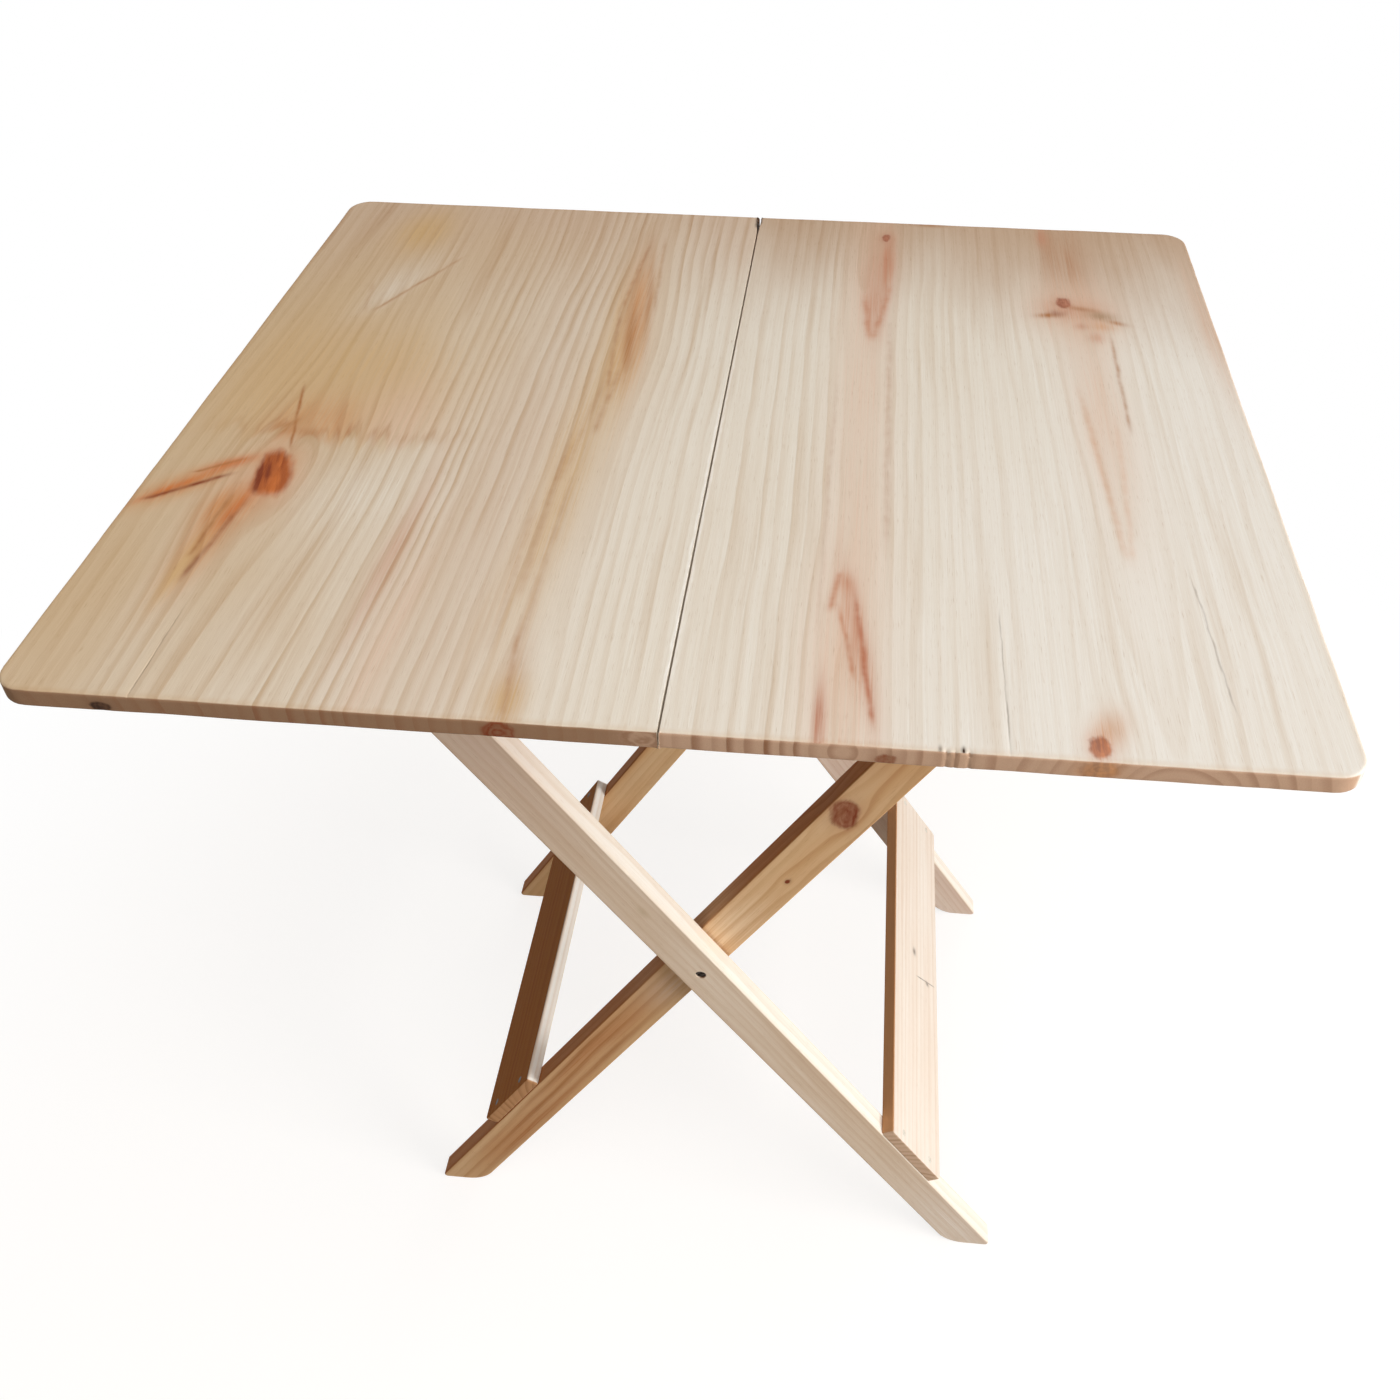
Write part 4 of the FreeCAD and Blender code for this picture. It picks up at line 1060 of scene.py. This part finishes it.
def leaf_mesh(name, sign, looks):
    """One leaf as a fine mesh: hand-worn edges, small chips, end checks and an uneven planed surface."""
    chips = looks["chips"]
    round_steps = [CORNER * share for share in ROUND_SHARES]
    columns_near = around(chips, CHIP_STEPS) + around(looks["checks"], CHECK_STEPS)
    xs = fine_steps(HALF_SEAM, HALF_WIDTH, columns_near + [HALF_WIDTH - step for step in round_steps])
    round_rows = [end * (HALF_DEPTH - step) for end in (-1.0, 1.0) for step in round_steps]
    ys = fine_steps(-HALF_DEPTH, HALF_DEPTH, round_rows)
    columns, rows = len(xs), len(ys)
    vertices = [leaf_point(x, y, side, sign, chips, looks) for side in (1, -1) for y in ys for x in xs]
    faces = []

    def index(column, row, under):
        return (under * rows + row) * columns + column

    for row in range(rows - 1):
        for column in range(columns - 1):
            corners = [(column, row), (column + 1, row), (column + 1, row + 1), (column, row + 1)]
            faces.append([index(c, r, 0) for c, r in corners])
            faces.append([index(c, r, 1) for c, r in reversed(corners)])
    border = [(column, 0) for column in range(columns)]
    border += [(columns - 1, row) for row in range(1, rows)]
    border += [(column, rows - 1) for column in range(columns - 2, -1, -1)]
    border += [(0, row) for row in range(rows - 2, 0, -1)]
    upper = [index(c, r, 0) for c, r in border]
    lower = [index(c, r, 1) for c, r in border]
    wall = [upper]
    for share in WALL_SHARES:
        ring = []
        for (column, row), low in zip(border, lower):
            start = Vector(leaf_point(xs[column], ys[row], 1, sign, (), looks))
            end = Vector(vertices[low])
            ring.append(len(vertices))
            vertices.append(tuple(start.lerp(end, share)))
        wall.append(ring)
    wall.append(lower)
    for high, low in zip(wall, wall[1:]):
        for i in range(len(border)):
            j = (i + 1) % len(border)
            faces.append([high[i], low[i], low[j], high[j]])
    if sign < 0:
        faces = [face[::-1] for face in faces]
    mesh = bpy.data.meshes.new(name)
    mesh.from_pydata(vertices, [], faces)
    mesh.shade_smooth()
    mesh.set_sharp_from_angle(angle=math.radians(SHARP_ANGLE))
    piece = bpy.data.objects.new(name, mesh)
    bpy.context.scene.collection.objects.link(piece)
    return piece


def dress_leaf(leaf, sign, looks):
    finish = leaf + "_top_pine"
    piece = leaf_mesh(leaf + "_leaf_planed", sign, looks)
    piece.data.materials.append(leaf_pine(finish, looks))
    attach(piece, leaf + "_leaf")
    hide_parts(leaf + "_leaf_board")


dress_leaf("left", -1.0, LEFT_LEAF)
dress_leaf("right", 1.0, RIGHT_LEAF)


# Finishes of the carried-over pieces

LEGS = {
    "outer_leg_near": OUTER_NEAR,
    "outer_leg_far": OUTER_FAR,
    "inner_leg_near": INNER_NEAR,
    "inner_leg_far": INNER_LEG,
}
STRETCHERS = {"outer_stretcher": OUTER_STRETCHER, "inner_stretcher": INNER_STRETCHER}
ZINC_PIECES = ("screw", "hinge", "spacer", "washer")
DARK_PIECES = ("scissor_bolt", "scissor_nut")


def dress(node_name, material):
    slots = nodes[node_name].data.materials
    slots.clear()
    slots.append(material)


for leg, looks in LEGS.items():
    dress(leg, leg_pine(leg, looks))
for stretcher, looks in STRETCHERS.items():
    dress(stretcher, stretcher_pine(stretcher, looks))
CLEAT_PINE = cleat_pine("cleat_pine", CLEAT)
for leaf in ("left", "right"):
    for side in ("near", "far"):
        dress("%s_cleat_%s" % (leaf, side), CLEAT_PINE)
for node_name in nodes:
    if any(word in node_name for word in ZINC_PIECES):
        dress(node_name, ZINC)
    if any(word in node_name for word in DARK_PIECES):
        dress(node_name, DARK_STEEL)
dress("outer_stretcher_nails", NAIL_STEEL)
dress("inner_stretcher_nails", DARK_STEEL)


# Stage: floor, light and camera

WHITE = (1.0, 1.0, 1.0, 1.0)
FLOOR_GREY = (0.34, 0.32, 0.3, 1.0)
FLOOR_GLOW = 0.76
FLOOR_HALF = 20.0
SHADOW_FADES = (0.5, 1.1)
SOFT_LIGHT = (0.45, 0.449, 0.445, 1.0)
DIM_SIDE = (0.17, 0.148, 0.122, 1.0)
DIM_FROM = (0.3, -0.8)

Lamp = namedtuple("Lamp", "name place target size power tint")
LAMPS = (
    Lamp("key", (2.1, -0.95, 0.85), (0.0, 0.0, 0.45), 1.2, 44.0, (1.0, 0.993, 0.982)),
    Lamp("overhead", (0.15, -0.55, 2.1), (0.0, 0.0, 0.7), 1.6, 15.5, (1.0, 1.0, 1.0)),
    Lamp("fill", (0.7, 2.4, 0.8), (0.0, 0.0, 0.4), 1.4, 12.0, (1.0, 0.997, 0.99)),
)

# The photograph's view, fitted to its edges: lens in millimetres, place in metres, turns in degrees
SENSOR_WIDTH = 36.0
LENS = 34.770
SHIFT_X = -0.04101
SHIFT_Y = -0.08935
CAMERA_PLACE = (0.0825, -0.7129, 1.1540)
CAMERA_TURNS = (50.6733, -0.2449, 5.0013)


def white_light(tree, kind, strength):
    """A white emission or background."""
    node = tree.nodes.new(kind)
    node.inputs["Color"].default_value = WHITE
    node.inputs["Strength"].default_value = strength
    return node.outputs[0]


def mix_shaders(tree, share, first, second):
    """The first shader, turned into the second by the share."""
    node = tree.nodes.new("ShaderNodeMixShader")
    plug(tree, share, node.inputs[0])
    tree.links.new(first, node.inputs[1])
    tree.links.new(second, node.inputs[2])
    return node.outputs[0]


def white_for_camera(tree, plain, white):
    """Shows the white shader to the camera and in reflections, and the plain one to everything else."""
    path = tree.nodes.new("ShaderNodeLightPath")
    seen = Field(path.outputs["Is Camera Ray"]) + Field(path.outputs["Is Glossy Ray"])
    seen = formula("MINIMUM", seen + Field(path.outputs["Is Transmission Ray"]), 1.0)
    return mix_shaders(tree, seen, plain, white)


def make_floor():
    """A wide pale floor that keeps a soft shadow around the feet and is plain white further out."""
    mesh = bpy.data.meshes.new("floor")
    signs = ((-1, -1), (1, -1), (1, 1), (-1, 1))
    mesh.from_pydata([(x * FLOOR_HALF, y * FLOOR_HALF, 0.0) for x, y in signs], [], [(0, 1, 2, 3)])
    floor = bpy.data.objects.new("floor", mesh)
    bpy.context.scene.collection.objects.link(floor)
    material = bpy.data.materials.new("floor_white")
    material.use_nodes = True
    tree = material.node_tree
    tree.nodes.remove(tree.nodes["Principled BSDF"])
    diffuse = tree.nodes.new("ShaderNodeBsdfDiffuse")
    diffuse.inputs["Color"].default_value = FLOOR_GREY
    both = tree.nodes.new("ShaderNodeAddShader")
    tree.links.new(diffuse.outputs[0], both.inputs[0])
    tree.links.new(white_light(tree, "ShaderNodeEmission", FLOOR_GLOW), both.inputs[1])
    where = tree.nodes.new("ShaderNodeTexCoord")
    x, y = parts_of(tree, where.outputs["Object"])[:2]
    far_out = ramp(length(x, y), *SHADOW_FADES)
    fade = mix_shaders(tree, far_out, both.outputs[0], white_light(tree, "ShaderNodeEmission", 1.0))
    shown = white_for_camera(tree, diffuse.outputs[0], fade)
    tree.links.new(shown, tree.nodes["Material Output"].inputs["Surface"])
    mesh.materials.append(material)


def make_world():
    """Soft light from all round, dimmer from the left."""
    world = bpy.data.worlds.new("studio")
    world.use_nodes = True
    bpy.context.scene.world = world
    tree = world.node_tree
    where = tree.nodes.new("ShaderNodeTexCoord")
    rightward = parts_of(tree, where.outputs["Generated"])[0]
    soft = tree.nodes["Background"]
    plug(tree, blend(ramp(rightward, *DIM_FROM), SOFT_LIGHT, DIM_SIDE), soft.inputs["Color"])
    soft.inputs["Strength"].default_value = 1.0
    shown = white_for_camera(tree, soft.outputs[0], white_light(tree, "ShaderNodeBackground", 1.0))
    tree.links.new(shown, tree.nodes["World Output"].inputs["Surface"])


def make_lamp(lamp):
    light = bpy.data.lights.new(lamp.name, "AREA")
    light.shape = "SQUARE"
    light.size = lamp.size
    light.energy = lamp.power
    light.color = lamp.tint
    light_object = bpy.data.objects.new(lamp.name, light)
    light_object.location = lamp.place
    aim = Vector(lamp.target) - Vector(lamp.place)
    light_object.rotation_euler = aim.to_track_quat("-Z", "Y").to_euler()
    light_object.visible_camera = False
    bpy.context.scene.collection.objects.link(light_object)


def make_camera():
    data = bpy.data.cameras.new("camera")
    data.sensor_width = SENSOR_WIDTH
    data.lens = LENS
    data.shift_x = SHIFT_X
    data.shift_y = SHIFT_Y
    camera = bpy.data.objects.new("camera", data)
    camera.location = CAMERA_PLACE
    camera.rotation_euler = [math.radians(turn) for turn in CAMERA_TURNS]
    bpy.context.scene.collection.objects.link(camera)
    bpy.context.scene.camera = camera


make_floor()
make_world()
for lamp in LAMPS:
    make_lamp(lamp)
make_camera()
bpy.context.scene.view_settings.view_transform = "Standard"
